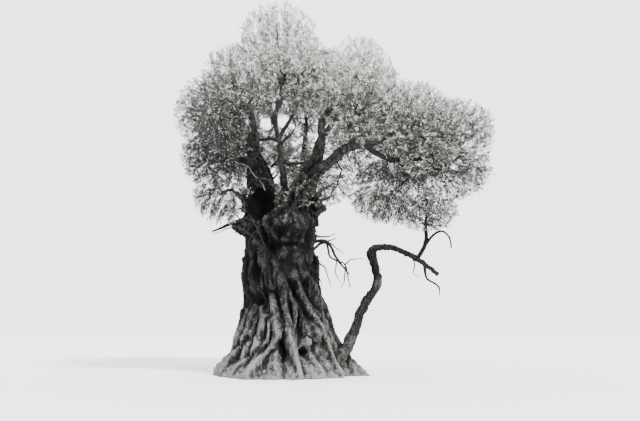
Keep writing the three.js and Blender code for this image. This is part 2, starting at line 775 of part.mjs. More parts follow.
function growMass(mass, index) {
  const random = seeded(SEED + 101 * index);
  const lift = mass.droop ? -mass.droop : UPWARD;
  const stem = stemOf(mass, limbs.get(mass.limb).limb, lift);
  const nodes = Array.from({ length: STEM.nodes }, (_, i) => {
    const t = (i + 1) / STEM.nodes;
    return { point: stem.point(t), way: t * stem.curve.getLength() };
  });

  let solid = stem.solid(0, 1, STEM.sides, STEM.steps);
  for (const spray of spraysOf(mass, stem.point(0), lift, random)) {
    const node = nodeFor(mass, nodes, spray.root);
    if (node === undefined) continue;
    const tip = spray.root.clone().addScaledVector(spray.heading, SPRAY.held * spray.length);
    solid = solid.add(twigSolid(node.point, tip, TWIG.radius)).add(bladeSolid(spray));
    const length = node.point.distanceTo(spray.root);
    for (let way = TWIG.step; way < length; way += TWIG.step) {
      nodes.push({ point: node.point.clone().lerp(spray.root, way / length), way: node.way + way });
    }
  }
  return solid;
}

const tree = new THREE.Group();
tree.name = "olive_tree";
tree.add(meshOf("trunk", trunkSolid(), BARK));
for (const row of limbs.values()) tree.add(meshOf(row.name, limbSolid(row), BARK));
MASSES.forEach((mass, index) => tree.add(meshOf(mass.name, growMass(mass, index), LEAVES)));

export default tree;
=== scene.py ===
"""The looks of an ancient olive tree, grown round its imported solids.

The trunk and boughs are meshes with the bark's relief. Each mass of foliage grows on from its limb by the
rule of its solid, and is carried on to finer twigs, shoots and leaves within the same space.
Metres, +Z up, the origin on the ground under the trunk. The main view looks along +Y.
"""

import math

import bpy
import numpy as np
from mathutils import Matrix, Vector, noise


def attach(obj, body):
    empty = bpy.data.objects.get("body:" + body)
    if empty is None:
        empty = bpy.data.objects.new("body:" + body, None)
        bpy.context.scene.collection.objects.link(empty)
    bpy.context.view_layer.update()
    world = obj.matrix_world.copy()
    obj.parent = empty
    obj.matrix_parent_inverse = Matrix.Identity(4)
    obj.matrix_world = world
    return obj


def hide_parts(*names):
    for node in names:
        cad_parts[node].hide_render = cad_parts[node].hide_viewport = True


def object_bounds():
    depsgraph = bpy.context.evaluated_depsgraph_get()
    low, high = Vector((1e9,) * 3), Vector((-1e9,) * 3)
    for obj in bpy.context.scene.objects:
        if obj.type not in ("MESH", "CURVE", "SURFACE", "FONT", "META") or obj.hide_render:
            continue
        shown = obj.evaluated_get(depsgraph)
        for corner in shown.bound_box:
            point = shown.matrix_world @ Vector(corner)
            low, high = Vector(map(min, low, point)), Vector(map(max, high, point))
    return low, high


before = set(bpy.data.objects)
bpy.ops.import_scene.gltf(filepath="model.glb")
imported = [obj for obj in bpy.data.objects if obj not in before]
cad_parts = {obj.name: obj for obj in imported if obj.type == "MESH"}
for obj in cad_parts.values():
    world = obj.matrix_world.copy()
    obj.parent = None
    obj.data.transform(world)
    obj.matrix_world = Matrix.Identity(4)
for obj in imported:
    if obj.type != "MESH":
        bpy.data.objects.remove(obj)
solid_lowest, solid_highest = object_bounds()

# The trunk, with the driving dimensions of its solid. Angles run in degrees from the front to the right.
FOOT_X = -0.100
LEAN = -0.130
WAIST_HEIGHT = 2.600
WAIST_RADIUS = 1.000
FLARE_HEIGHT = 1.100
SHOULDER = 0.090
SHOULDER_FOOT = 3.600
CROWN_FOOT = 4.300
CROWN_TOP = 5.230
FURROW_DEPTH = 0.150
FURROW_CHANGE = 0.45
FURROW_LENGTH = 1.700
ROOT_FURROW_DEPTH = 0.230
ROOT_FURROW_HEIGHT = 0.850
FURROW_SHARPNESS = 2.2
SWELLING = 0.045
SWELLING_LENGTH = 1.350
MEANDER_DEGREES = 4.2
MEANDER_LENGTH = 1.900

# Each front rib: its angle at the fork, its angle at the ground and how far its root reaches from the axis.
FRONT_RIBS = [
    (-88, -87, 2.03),
    (-65, -67, 1.9),
    (-43, -47, 1.96),
    (-22, -27, 2.06),
    (-5, -8, 1.88),
    (10, 11, 2.01),
    (25, 31, 1.9),
    (43, 53, 2.02),
    (64, 70, 1.84),
    (86, 82, 2.44),
]
BACK_RIBS = 7
FIRST_BACK_RIB = 109
LAST_BACK_RIB = 249
BACK_REACH = 1.880
BACK_REACH_SWAY = 0.170

# Hollows and burls in the trunk's side: angle, height, half width in degrees, half height, depth inward.
PITS = [
    (30, 0.56, 9, 0.23, 0.33),
    (2, 0.72, 5, 0.26, 0.24),
    (-37, 0.62, 5, 0.3, 0.23),
    (-57, 1.15, 6, 0.38, 0.22),
    (-40, 2.08, 16, 0.17, 0.24),
    (46, 2.4, 6, 0.23, 0.26),
    (24, 1.25, 4, 0.42, 0.18),
    (22, 4.15, 24, 0.42, -0.17),
    (-14, 3.56, 16, 0.3, 0.17),
    (34, 2.9, 13, 0.3, -0.11),
    (68, 3.1, 12, 0.32, -0.07),
    (80, 4.78, 26, 0.33, -0.33),
    (-82, 4.08, 13, 0.2, -0.19),
    (-60, 2.9, 12, 0.42, -0.06),
]
HOLLOW_CENTRE = (-0.790, -0.780, 4.740)
HOLLOW_RADII = (0.450, 0.780, 0.540)

# Limbs: name, parent, where on it (a share of a limb, or a point in the trunk), points on the way, radii.
LIMBS = [
    ("bough_left", "trunk", (-0.76, 0.06, 3.9),
     [(-0.88, 0.06, 5.12), (-1.03, 0.05, 5.95), (-0.96, 0.05, 6.6), (-1.06, 0.05, 7.15)],
     [0.48, 0.35, 0.215, 0.12, 0.092]),
    ("bough_middle", "trunk", (-0.04, 0.1, 4.2),
     [(-0.13, 0.15, 5.25), (-0.21, 0.15, 5.9), (-0.29, 0.15, 6.56), (-0.43, 0.15, 7.08)],
     [0.15, 0.105, 0.092, 0.082, 0.072]),
    ("bough_right", "trunk", (0.26, 0, 3.95),
     [(0.42, 0, 5.2), (0.74, 0, 5.95), (0.9, 0.02, 6.5), (0.93, 0.06, 7.08), (1.17, 0.06, 7.56)],
     [0.47, 0.33, 0.19, 0.15, 0.112, 0.084]),
    ("bough_right_long", "bough_right", 0.26,
     [(1.08, -0.33, 5.83), (1.54, -0.34, 6.23), (2.04, -0.3, 6.42), (2.52, -0.26, 6.5)],
     [0.19, 0.16, 0.14, 0.118, 0.1]),
    ("bough_back_left", "trunk", (-0.35, 0.25, 4.2),
     [(-0.52, 0.8, 5.2), (-0.76, 1.15, 5.95), (-1, 1.4, 6.5)],
     [0.33, 0.21, 0.14, 0.1]),
    ("bough_back", "trunk", (0.15, 0.25, 4.2),
     [(0.3, 1, 5.3), (0.42, 1.5, 6.15), (0.42, 1.85, 6.95)],
     [0.32, 0.2, 0.13, 0.09]),
    ("bough_top", "bough_middle", 1, [(-0.25, 0.19, 7.8), (-0.27, 0.21, 8.28)], [0.068, 0.052]),
    ("bough_top_right", "bough_middle", 0.8, [(-0.02, 0.19, 7.18), (0.26, 0.23, 7.78)], [0.06, 0.046]),
    ("bough_front_top", "bough_middle", 0.93, [(-0.33, -0.45, 7.56), (-0.12, -0.88, 8.08)], [0.058, 0.042]),
    ("bough_upper_left", "bough_left", 1, [(-1.15, 0.04, 7.56), (-1.33, 0.04, 7.95)], [0.084, 0.058]),
    ("bough_left_outer", "bough_left", 0.72, [(-1.4, 0, 7.15), (-1.72, -0.02, 7.54)], [0.066, 0.046]),
    ("bough_left_low", "bough_left", 0.42, [(-1.42, 0.11, 6.08), (-1.6, 0.13, 6.16)], [0.088, 0.06]),
    ("bough_front_left", "bough_left", 0.62, [(-1.13, -0.64, 6.56), (-1.26, -1.15, 6.84)], [0.076, 0.052]),
    ("bough_left_hanging", "trunk", (-0.76, -0.15, 4.38),
     [(-1.33, -0.33, 4.9), (-1.5, -0.38, 5.02)], [0.12, 0.08, 0.055]),
    ("bough_right_shoulder", "bough_right", 0.64, [(1.29, 0.11, 7.2), (1.6, 0.13, 7.74)], [0.088, 0.058]),
    ("bough_right_mid", "bough_right_long", 1, [(2.78, -0.16, 6.64), (3, -0.08, 6.8)], [0.092, 0.062]),
    ("bough_front_right", "bough_right_long", 0.62, [(1.72, -0.9, 6.7), (1.79, -1.3, 6.96)], [0.08, 0.052]),
    ("bough_right_far", "bough_right_long", 0.82,
     [(2.42, -0.33, 6.16), (3, -0.33, 5.96), (3.66, -0.3, 5.99), (4.26, -0.26, 6.19)],
     [0.084, 0.078, 0.066, 0.056, 0.044]),
    ("bough_far_right", "bough_right_far", 1, [(4.42, -0.22, 6.3), (4.56, -0.18, 6.42)], [0.044, 0.038]),
    ("bough_far_low", "bough_right_far", 0.82, [(4.08, -0.33, 5.72), (4.26, -0.33, 5.64)], [0.042, 0.032]),
    ("bough_front_far", "bough_right_far", 0.5, [(3.06, -0.86, 6.23), (3.16, -1.15, 6.42)], [0.052, 0.038]),
    ("bough_back_far", "bough_right_far", 0.42, [(3, 0.36, 6.05), (3.18, 0.76, 6.24)], [0.056, 0.042]),
    ("bough_right_under", "bough_right_far", 0.62, [(3.22, -0.06, 5.7), (3.27, 0, 5.6)], [0.046, 0.034]),
    ("bough_back_top", "bough_back", 1, [(0.43, 2.05, 7.3), (0.44, 2.18, 7.52)], [0.084, 0.062]),
    ("bough_back_right", "bough_back", 0.55, [(1.06, 1.75, 6.26), (1.48, 1.95, 6.68)], [0.1, 0.062]),
    ("bough_back_low", "bough_back", 0.72, [(0.56, 2.16, 6.15), (0.64, 2.4, 6.17)], [0.072, 0.048]),
    ("arm_lower", "trunk", (1.33, -0.33, 0.26),
     [(1.72, -0.42, 1.05), (2.08, -0.43, 1.88), (2.45, -0.43, 2.5), (2.4, -0.43, 2.9), (2.31, -0.43, 3.26)],
     [0.19, 0.15, 0.132, 0.118, 0.112, 0.132]),
    ("arm_upper", "arm_lower", 1,
     [(2.42, -0.43, 3.47), (2.9, -0.43, 3.47), (3.34, -0.43, 3.27), (3.72, -0.43, 3.04),
     (4.13, -0.43, 2.72)], [0.132, 0.118, 0.092, 0.08, 0.072, 0.062]),
    ("arm_shoot", "arm_upper", 0.76, [(3.79, -0.43, 3.62), (3.8, -0.42, 4.02)], [0.064, 0.046]),
    ("arm_shoot_arched", "arm_shoot", 0.3,
     [(3.97, -0.47, 3.79), (4.25, -0.48, 3.93), (4.44, -0.47, 3.74), (4.5, -0.45, 3.45)],
     [0.04, 0.038, 0.032, 0.026, 0.018]),
    ("arm_shoot_hanging", "arm_upper", 0.84,
     [(3.79, -0.5, 2.64), (4.02, -0.53, 2.48), (4.13, -0.54, 2.34), (4.11, -0.54, 2.11)],
     [0.038, 0.032, 0.026, 0.02, 0.013]),
    ("dead_branch_left", "trunk", (-1.1, -0.3, 4.33),
     [(-1.64, -0.42, 4.11), (-2.1, -0.48, 3.91)], [0.08, 0.048, 0.024]),
    ("dead_branch_right", "trunk", (0.48, -0.33, 3.6),
     [(1.06, -0.52, 3.64), (1.33, -0.56, 3.18), (1.67, -0.6, 2.74)], [0.06, 0.044, 0.034, 0.022]),
]

# Masses of foliage: name, middle of the space, reach from there, sprays of the solid, and droop.
# A mass that droops leans down where the others lean up.
MASSES = [
    ("crown_top", (-0.35, 0.2, 9.35), (1.23, 1.4, 1.38), 24, 0),
    ("crown_upper_left", (-1.6, 0.05, 8.31), (0.92, 1.4, 1.16), 19, 0),
    ("crown_left", (-2.25, -0.05, 7.35), (1.02, 1.3, 1.1), 16, 0),
    ("crown_left_low", (-2, 0.15, 6.15), (1.1, 1.2, 1), 16, 0.15),
    ("crown_left_hanging", (-1.9, -0.38, 5), (0.75, 0.85, 0.85), 11, 0.6),
    ("crown_top_right", (0.95, 0.2, 8.35), (1.2, 1.35, 1.04), 17, 0),
    ("crown_right_shoulder", (1.95, 0.1, 8.4), (1.04, 1.35, 1.28), 19, 0),
    ("crown_right_mid", (3.36, 0.05, 7.2), (1.3, 1.35, 1.14), 19, 0),
    ("crown_far_right", (4.7, -0.1, 6.78), (1.2, 1.3, 0.96), 20, 0),
    ("crown_far_low", (4.6, -0.33, 5.65), (1.1, 1.05, 0.8), 13, 0.3),
    ("crown_right_under", (2.95, 0.25, 5.15), (1.3, 1.15, 0.95), 19, 0.5),
    ("crown_arm", (3.84, -0.45, 4.52), (0.86, 0.85, 0.62), 11, 0.3),
    ("crown_front_left", (-1.25, -1.75, 6.95), (1.3, 1.15, 1.2), 17, 0),
    ("crown_front_top", (0.3, -1.5, 8.02), (1.22, 1.2, 1.08), 16, 0),
    ("crown_front_right", (1.9, -1.8, 7.2), (1.35, 1.2, 1.2), 18, 0),
    ("crown_front_far", (3.5, -1.6, 6.55), (1.25, 1.1, 1.05), 15, 0),
    ("crown_back_far", (3.7, 1.6, 6.6), (1.25, 1.15, 1.1), 15, 0),
    ("crown_back_top", (0.35, 2.25, 8.3), (1.45, 1.3, 1.3), 18, 0),
    ("crown_back_left", (-1.45, 1.95, 7.1), (1.4, 1.3, 1.3), 17, 0),
    ("crown_back_right", (2.1, 2.2, 7.2), (1.4, 1.25, 1.3), 18, 0),
    ("crown_back_low", (0.75, 2.95, 6), (1.2, 1, 1), 13, 0),
]

# The limbs that bear a mass without sharing its name.
OTHER_LIMBS = {"crown_arm": "arm_shoot", "crown_left": "bough_left_outer"}

# Gaps in the crown: sight lines from the viewer's eye through a point in the tree's middle plane, each with
# its x, its height and its radius there.
EYE = np.array([0.88, -22.4, 1.5])
SKY_GAPS = [
    (-0.18, 7.15, 0.19),
    (-0.64, 7.08, 0.17),
    (0.9, 6.62, 0.15),
    (-0.62, 6.35, 0.3),
    (-0.56, 5.65, 0.3),
    (0.07, 6.25, 0.23),
    (0.06, 5.62, 0.24),
]
OPEN_GAPS = 3  # so many of them show the sky; in the others fine leaves grow at the far side of the crown

# Stretches of bough with no leaves before them, in the same form.
BARE_BOUGHS = [
    (-1.02, 5.95, 0.34),
    (-0.98, 6.6, 0.26),
    (-1.06, 7.1, 0.2),
    (-0.21, 5.9, 0.24),
    (-0.29, 6.56, 0.22),
    (-0.42, 7.08, 0.2),
    (-0.26, 7.6, 0.18),
    (0.6, 5.6, 0.36),
    (0.84, 6.25, 0.28),
    (0.93, 7, 0.24),
    (1.15, 7.5, 0.2),
    (1.25, 6.02, 0.26),
    (1.75, 6.35, 0.22),
    (2.3, 6.38, 0.17),
    (3, 5.98, 0.15),
    (3.66, 6, 0.13),
]

# The rule by which a mass grows, as in its solid. Angles are in radians.
SEED = 7
SEED_STEP = 101  # from one mass's seed to the next one's
LEAD = 0.3  # the share of the way to its next point that a limb goes straight on from another's end
CURVE_STEPS = 60
WAY = np.array([0.2, 0.4, 0.6, 0.8, 1])  # where a line is tried for room
SPACE_MARGIN = 0.07
LIMB_MARGIN = 0.045
UPWARD = 0.25
STEP_DOWN = 0.12
STEM_PAST = 0.35
STEM_BEND = 0.3
STEM_TIP_RADIUS = 0.022
STEM_NODES = 10
SPRAY_TRIES = 3000
SPRAY_SWAY = 1.1
SPRAY_LEAST = 0.640
SPRAY_MOST = 1.050
SPRAY_SHORTEST = 0.6
SPRAY_ROOM = 0.1
SPRAY_APART = 0.440
TWIG_RADIUS = 0.024
WAY_WEIGHT = 0.35
TWIG_CHOICES = 4
TWIG_STEP = 0.150

# The finer twigs between those of the solids follow the same rule to smaller sprays, closer together.
SPOTS_TRIED = 3500
SPOT_APART = 0.25
LOW_SPOT_APART = 0.222  # in masses that hang lower than LOW_UNDER, which are denser
LOW_UNDER = 6.3
BACK_SPOT_APART = 0.268  # in masses further back than BACK_FROM
BACK_FROM = 1.5
SPOT_MARGIN = -0.03
FINE_SPRAY = 0.34
FINE_SWAY = 0.7
FINE_EDGE = 1.05  # fine twigs and shoots may pass the edge of their mass's reach by this and the next
SHOOT_EDGE = 1.04
TWIG_POINTS = 6
FINE_TWIG_POINTS = 4
SPOT_PAST = 0.008
SHOOT_PAST = 0.018

rng = np.random.default_rng(SEED)
fork_rng = np.random.default_rng(SEED + 1)


def smoothstep(value, low, high):
    share = np.clip((value - low) / (high - low), 0, 1)
    return share * share * (3 - 2 * share)


def lerp(low, high, share):
    return low + (high - low) * share


def unit(vectors):
    return vectors / np.linalg.norm(vectors, axis=-1, keepdims=True)


def turned_by(angle, centre):
    """The way round from one angle to others, the short way."""
    turn = angle - centre
    return turn - 2 * np.pi * np.round(turn / (2 * np.pi))


def towards(angle, first, second):
    """Directions turned by an angle each from a first direction towards a second one square to it."""
    return np.cos(angle)[:, None] * first + np.sin(angle)[:, None] * second


# Trunk

back_angles = np.linspace(FIRST_BACK_RIB, LAST_BACK_RIB, BACK_RIBS)
back_reaches = BACK_REACH + BACK_REACH_SWAY * np.sin(2.4 * np.arange(BACK_RIBS))
RIB_TOP = np.concatenate([[rib[0] for rib in FRONT_RIBS], back_angles])
RIB_FOOT = np.concatenate([[rib[1] for rib in FRONT_RIBS], back_angles])
RIB_REACH = np.concatenate([[rib[2] for rib in FRONT_RIBS], back_reaches])
RIBS = len(RIB_TOP)


def rib_angle(k, height):
    wander = MEANDER_DEGREES * np.sin(2 * np.pi * height / MEANDER_LENGTH + 2.6 * k)
    straight = lerp(RIB_FOOT[k], RIB_TOP[k], smoothstep(height, 0, WAIST_HEIGHT))
    return np.radians(straight + wander * smoothstep(height, 0, FLARE_HEIGHT))


def ridge_radius(k, height):
    flare = (RIB_REACH[k] - WAIST_RADIUS) * np.exp(-height / FLARE_HEIGHT)
    shoulder = SHOULDER * smoothstep(height, SHOULDER_FOOT, CROWN_FOOT)
    swelling = SWELLING * np.sin(2 * np.pi * height / SWELLING_LENGTH + 2.1 * k)
    return WAIST_RADIUS + flare + shoulder + swelling


def furrow_depth(k, height):
    change = 1 + FURROW_CHANGE * np.sin(2 * np.pi * height / FURROW_LENGTH + 1.7 * k)
    return FURROW_DEPTH * change + ROOT_FURROW_DEPTH * np.exp(-height / ROOT_FURROW_HEIGHT)


def pit_depth(angle, height):
    depth = np.zeros(np.broadcast(angle, height).shape)
    for pit_angle, pit_height, wide, tall, deep in PITS:
        turn = turned_by(angle, math.radians(pit_angle)) / math.radians(wide)
        depth += deep * np.exp(-(turn**2) - ((height - pit_height) / tall) ** 2)
    return depth


def trunk_radius(k, share, angle, height):
    """The trunk's radius between rib k and the next, at a share of the way from one to the other."""
    following = (k + 1) % RIBS
    ridge = lerp(ridge_radius(k, height), ridge_radius(following, height), smoothstep(share, 0, 1))
    furrow = furrow_depth(k, height) * (1 - np.abs(2 * share - 1)) ** FURROW_SHARPNESS
    closing = np.clip((height - CROWN_FOOT) / (CROWN_TOP - CROWN_FOOT), 0, 1)
    return (ridge - furrow - pit_depth(angle, height)) * np.sqrt(1 - closing**3)


def axis_x(height):
    return FOOT_X + LEAN * smoothstep(height, 0, WAIST_HEIGHT)


def rib_at(angle, height):
    """The rib that each direction comes after at a height, and its share of the way to the next."""
    starts = rib_angle(np.arange(RIBS), height[:, None])
    angle = starts[:, 0] + (angle - starts[:, 0]) % (2 * np.pi)
    k = (starts <= angle[:, None]).sum(1) - 1
    starts = np.column_stack([starts, starts[:, 0] + 2 * np.pi])
    rows = np.arange(len(k))
    return k, (angle - starts[rows, k]) / (starts[rows, k + 1] - starts[rows, k]), angle


def outside_trunk(points):
    """How far each point is outside the trunk's body. Negative inside."""
    distance = points[:, 2] - CROWN_TOP
    beside = distance <= 0
    x = points[beside, 0] - axis_x(points[beside, 2])
    y = points[beside, 1]
    height = points[beside, 2]
    k, share, angle = rib_at(np.arctan2(x, -y), height)
    distance[beside] = np.hypot(x, y) - trunk_radius(k, share, angle, height)
    return distance


# Limbs


class Limb:
    """A tapering limb along an even Catmull-Rom curve. Shares t run from 0 at its foot to 1 at its tip."""

    def __init__(self, points, radii):
        self.points = np.array(points, float)
        self.radii = np.array(radii, float)
        first = 2 * self.points[0] - self.points[1]
        last = 2 * self.points[-1] - self.points[-2]
        self.padded = np.vstack([first, self.points, last])

    def point(self, t):
        spans = len(self.points) - 1
        place = np.clip(np.asarray(t, float), 0, 1) * spans
        i = np.minimum(place.astype(int), spans - 1)
        share = (place - i)[..., None]
        before, start, end, after = (self.padded[i + k] for k in range(4))
        leave = 0.5 * (end - before)
        arrive = 0.5 * (after - start)
        square = 3 * (end - start) - 2 * leave - arrive
        cube = 2 * (start - end) + leave + arrive
        return start + share * leave + share**2 * square + share**3 * cube

    def tangent(self, t):
        step = 1e-3
        ahead = self.point(np.minimum(1, np.asarray(t) + step))
        return unit(ahead - self.point(np.maximum(0, np.asarray(t) - step)))

    def radius(self, t):
        return np.interp(t, np.linspace(0, 1, len(self.radii)), self.radii)

    def length(self):
        along = self.point(np.linspace(0, 1, CURVE_STEPS))
        return np.linalg.norm(np.diff(along, axis=0), axis=1).sum()


def grow_on(parent, through, radii):
    """A limb that goes on from another's flat end."""
    facing = parent.tangent(1.0)
    start = parent.point(1.0)
    lead = start + LEAD * np.linalg.norm(np.array(through[0]) - start) * facing
    return Limb([start, lead, *through], radii)


limbs = {}
for name, parent, place, through, radii in LIMBS:
    if place == 1:
        limbs[name] = grow_on(limbs[parent], through, radii)
    else:
        foot = place if parent == "trunk" else limbs[parent].point(place)
        limbs[name] = Limb([foot, *through], radii)

limb_points = []
limb_radii = []
for limb in limbs.values():
    shares = np.linspace(0, 1, 6 * (len(limb.points) - 1) + 1)
    limb_points.append(limb.point(shares))
    limb_radii.append(limb.radius(shares))
limb_points = np.concatenate(limb_points)
limb_radii = np.concatenate(limb_radii)

# Foliage: the rule


class Seeded:
    """Numbers from 0 to 1, the same on every run and the same as the solids were grown with."""

    FACTOR = 1664525
    ADDED = 1013904223
    RANGE = 2**32

    def __init__(self, seed):
        self.state = seed

    def __call__(self):
        self.state = (self.state * self.FACTOR + self.ADDED) % self.RANGE
        return self.state / self.RANGE


class Mass:
    """One mass of foliage and the limb that bears it."""

    def __init__(self, index, name, middle, reach, sprays, droop):
        self.seed = SEED + SEED_STEP * index
        self.name = name
        self.limb = limbs[OTHER_LIMBS.get(name, name.replace("crown", "bough"))]
        self.middle = np.array(middle)
        self.reach = np.array(reach)
        self.sprays = sprays
        self.lift = -droop if droop else UPWARD

    def measure(self, points):
        """The mass's own measure of distance: 1 at the edge of its reach."""
        return np.linalg.norm((points - self.middle) / self.reach, axis=1)


masses = [Mass(index, *row) for index, row in enumerate(MASSES)]


def is_on(sight_lines, points, up_to):
    """Whether points are on some sight lines, up to a share of the way to the tree's middle plane."""
    on = np.zeros(len(points), bool)
    offset = points - EYE
    for x, height, radius in sight_lines:
        sight = np.array([x, 0, height]) - EYE
        share = offset @ sight / (sight @ sight)
        on |= (share < up_to) & (np.linalg.norm(offset - share[:, None] * sight, axis=1) < radius * share)
    return on


def in_box(points, past):
    """Whether points are in the solids' box, or past it by no more than a share of its sides."""
    room = past * (np.array(solid_highest) - np.array(solid_lowest))
    return ((points > np.array(solid_lowest) - room) & (points < np.array(solid_highest) + room)).all(1)


class Space:
    """The room that a mass's twigs may take: in its reach, off the limbs, out of neighbours and gaps."""

    def __init__(self, mass):
        self.mass = mass
        self.others = [other for other in masses if other is not mass]
        self.gaps = SKY_GAPS
        self.bare = BARE_BOUGHS
        away = np.linalg.norm(limb_points - mass.middle, axis=1) - limb_radii
        near = away < mass.reach.max() + 3 * LIMB_MARGIN
        self.points = limb_points[near]
        self.radii = limb_radii[near]

    def is_free(self, points, room, edge=1.0, margin=2 * SPACE_MARGIN):
        own = self.mass.measure(points)
        free = own <= edge
        for other in self.others:
            free &= other.measure(points) >= own + margin
        kept = np.flatnonzero(free)
        if len(kept) == 0:
            return free
        inner = points[kept]
        clear = outside_trunk(inner) >= LIMB_MARGIN + room
        if len(self.points):
            distances = np.linalg.norm(inner[:, None] - self.points, axis=2) - self.radii
            clear &= distances.min(1) >= LIMB_MARGIN + room
        free[kept] = clear & ~is_on(self.gaps, inner, np.inf) & ~is_on(self.bare, inner, 1)
        return free

    def open_to_fine_leaves(self):
        """From now on the gaps that show no sky are kept free only before the boughs."""
        self.gaps = SKY_GAPS[:OPEN_GAPS]
        self.bare = BARE_BOUGHS + SKY_GAPS[OPEN_GAPS:]

    def free_length(self, start, heading, least, most, room):
        """How far a line stays free, up to a limit, in steps down from it."""
        steps = int((most - least) / (STEP_DOWN * most) + 1e-9) + 1
        lengths = most * (1 - STEP_DOWN * np.arange(steps))
        points = start + (lengths[:, None] * WAY)[..., None] * heading
        free = self.is_free(points.reshape(-1, 3), room).reshape(steps, -1).all(1)
        return lengths[free.argmax()] if free.any() else 0


def stem_of(mass):
    """The stem that a mass's limb goes on as, through the middle of the mass."""
    far = mass.middle + STEM_PAST * (mass.middle - mass.limb.point(1.0))
    far[2] += mass.lift * STEM_BEND * mass.reach[2]
    return grow_on(mass.limb, [mass.middle, far], [float(mass.limb.radius(1.0)), STEM_TIP_RADIUS])


def any_heading(random):
    height = 2 * random() - 1
    turn = 2 * math.pi * random()
    level = math.sqrt(1 - height * height)
    return np.array([level * math.cos(turn), level * math.sin(turn), height])


def sprays_of(mass, space, foot):
    """The sprays of a mass's solid as roots, headings and lengths, the nearest to the stem's foot first."""
    random = Seeded(mass.seed)
    sprays = []
    middles = []
    for _ in range(SPRAY_TRIES):
        if len(sprays) >= mass.sprays:
            break
        away = any_heading(random)
        root = mass.middle + mass.reach * away * random() ** (1 / 3)
        size = lerp(SPRAY_LEAST, SPRAY_MOST, random())
        random()  # the roll of the solid's blade, which a spray of leaves has no use for
        heading = unit(root - foot) + SPRAY_SWAY * any_heading(random)
        heading[2] += mass.lift
        heading = unit(heading)
        middle = root + 0.5 * size * heading
        if any(np.linalg.norm(other - middle) < SPRAY_APART for other in middles):
            continue
        if not space.is_free(root[None], SPRAY_ROOM * size)[0]:
            continue
        length = space.free_length(root, heading, SPRAY_SHORTEST * size, size, SPRAY_ROOM * size)
        if length > 0:
            sprays.append((root, heading, length))
            middles.append(middle)
    return sorted(sprays, key=lambda spray: np.linalg.norm(spray[0] - foot))


def free_spots(mass, space, taken):
    """Free spots all through a mass's space, none close to another or to a point that is taken."""
    apart = SPOT_APART
    if mass.middle[1] > BACK_FROM:
        apart = BACK_SPOT_APART
    elif mass.middle[2] < LOW_UNDER:
        apart = LOW_SPOT_APART
    headings = unit(rng.normal(size=(SPOTS_TRIED, 3)))
    share = rng.random((SPOTS_TRIED, 1)) ** (1 / 3)
    spots = mass.middle + mass.reach * share * headings
    spots = spots[space.is_free(spots, 0.0, 1.0, SPOT_MARGIN) & in_box(spots, SPOT_PAST)]
    kept = np.concatenate([taken, np.empty_like(spots)])
    count = len(taken)
    for spot in spots:
        if np.linalg.norm(kept[:count] - spot, axis=1).min() >= apart:
            kept[count] = spot
            count += 1
    return kept[len(taken):count]


class Wood:
    """A mass's twigs as they grow: their lines, the twig each leaves, and the nodes that more can leave."""

    def __init__(self, stem):
        shares = np.arange(1, STEM_NODES + 1) / STEM_NODES
        self.nodes = stem.point(shares)
        self.ways = shares * stem.length()
        self.owners = np.full(STEM_NODES, -1)
        self.lines = []
        self.parents = []

    def node_for(self, root, is_free):
        """The node that a twig leaves for a root, or None where every one near it is shut off."""
        cost = np.linalg.norm(self.nodes - root, axis=1) + WAY_WEIGHT * self.ways
        for node in np.argsort(cost, kind="stable")[:TWIG_CHOICES]:
            if is_free(lerp(self.nodes[node], root, WAY[:, None])):
                return node
        return None

    def add(self, node, root, steps):
        start = self.nodes[node]
        length = np.linalg.norm(root - start)
        shares = np.arange(1, math.ceil(length / TWIG_STEP)) * TWIG_STEP / length
        self.nodes = np.concatenate([self.nodes, lerp(start, root, shares[:, None])])
        self.ways = np.concatenate([self.ways, self.ways[node] + shares * length])
        self.owners = np.concatenate([self.owners, np.full(len(shares), len(self.lines))])
        self.parents.append(self.owners[node])
        self.lines.append(lerp(start, root, np.linspace(0, 1, steps)[:, None]))

    def loads(self):
        """How many twigs each one carries, itself counted."""
        loads = np.ones(len(self.lines))
        for k in reversed(range(len(self.lines))):
            if self.parents[k] >= 0:
                loads[self.parents[k]] += loads[k]
        return loads


def grow_mass(mass):
    """A mass's stem, twigs and sprays: first those of its solid, then the finer ones between them."""
    stem = stem_of(mass)
    foot = stem.point(0.0)
    space = Space(mass)
    wood = Wood(stem)
    sprays = []
    for root, heading, length in sprays_of(mass, space, foot):
        node = wood.node_for(root, lambda points: space.is_free(points, TWIG_RADIUS).all())
        if node is not None:
            wood.add(node, root, TWIG_POINTS)
            sprays.append((root, heading, length))
    space.open_to_fine_leaves()
    shares = (0.2, 0.5, 0.8)
    taken = [root + share * length * heading for root, heading, length in sprays for share in shares]
    spots = free_spots(mass, space, np.array(taken))
    for spot in spots[np.argsort(np.linalg.norm(spots - foot, axis=1))]:
        node = wood.node_for(spot, lambda way: space.is_free(way[:4], 0.0, FINE_EDGE, SPOT_MARGIN).all())
        if node is not None:
            sway = FINE_SWAY * unit(rng.normal(size=3))
            heading = unit(unit(spot - foot) + sway + np.array([0, 0, mass.lift]))
            root = spot - 0.5 * FINE_SPRAY * heading
            wood.add(node, root, FINE_TWIG_POINTS)
            sprays.append((root, heading, FINE_SPRAY))
    return space, stem, wood, sprays


# Meshes from arrays


def placed(name, data):
    """A new object in the scene."""
    piece = bpy.data.objects.new(name, data)
    bpy.context.scene.collection.objects.link(piece)
    return piece


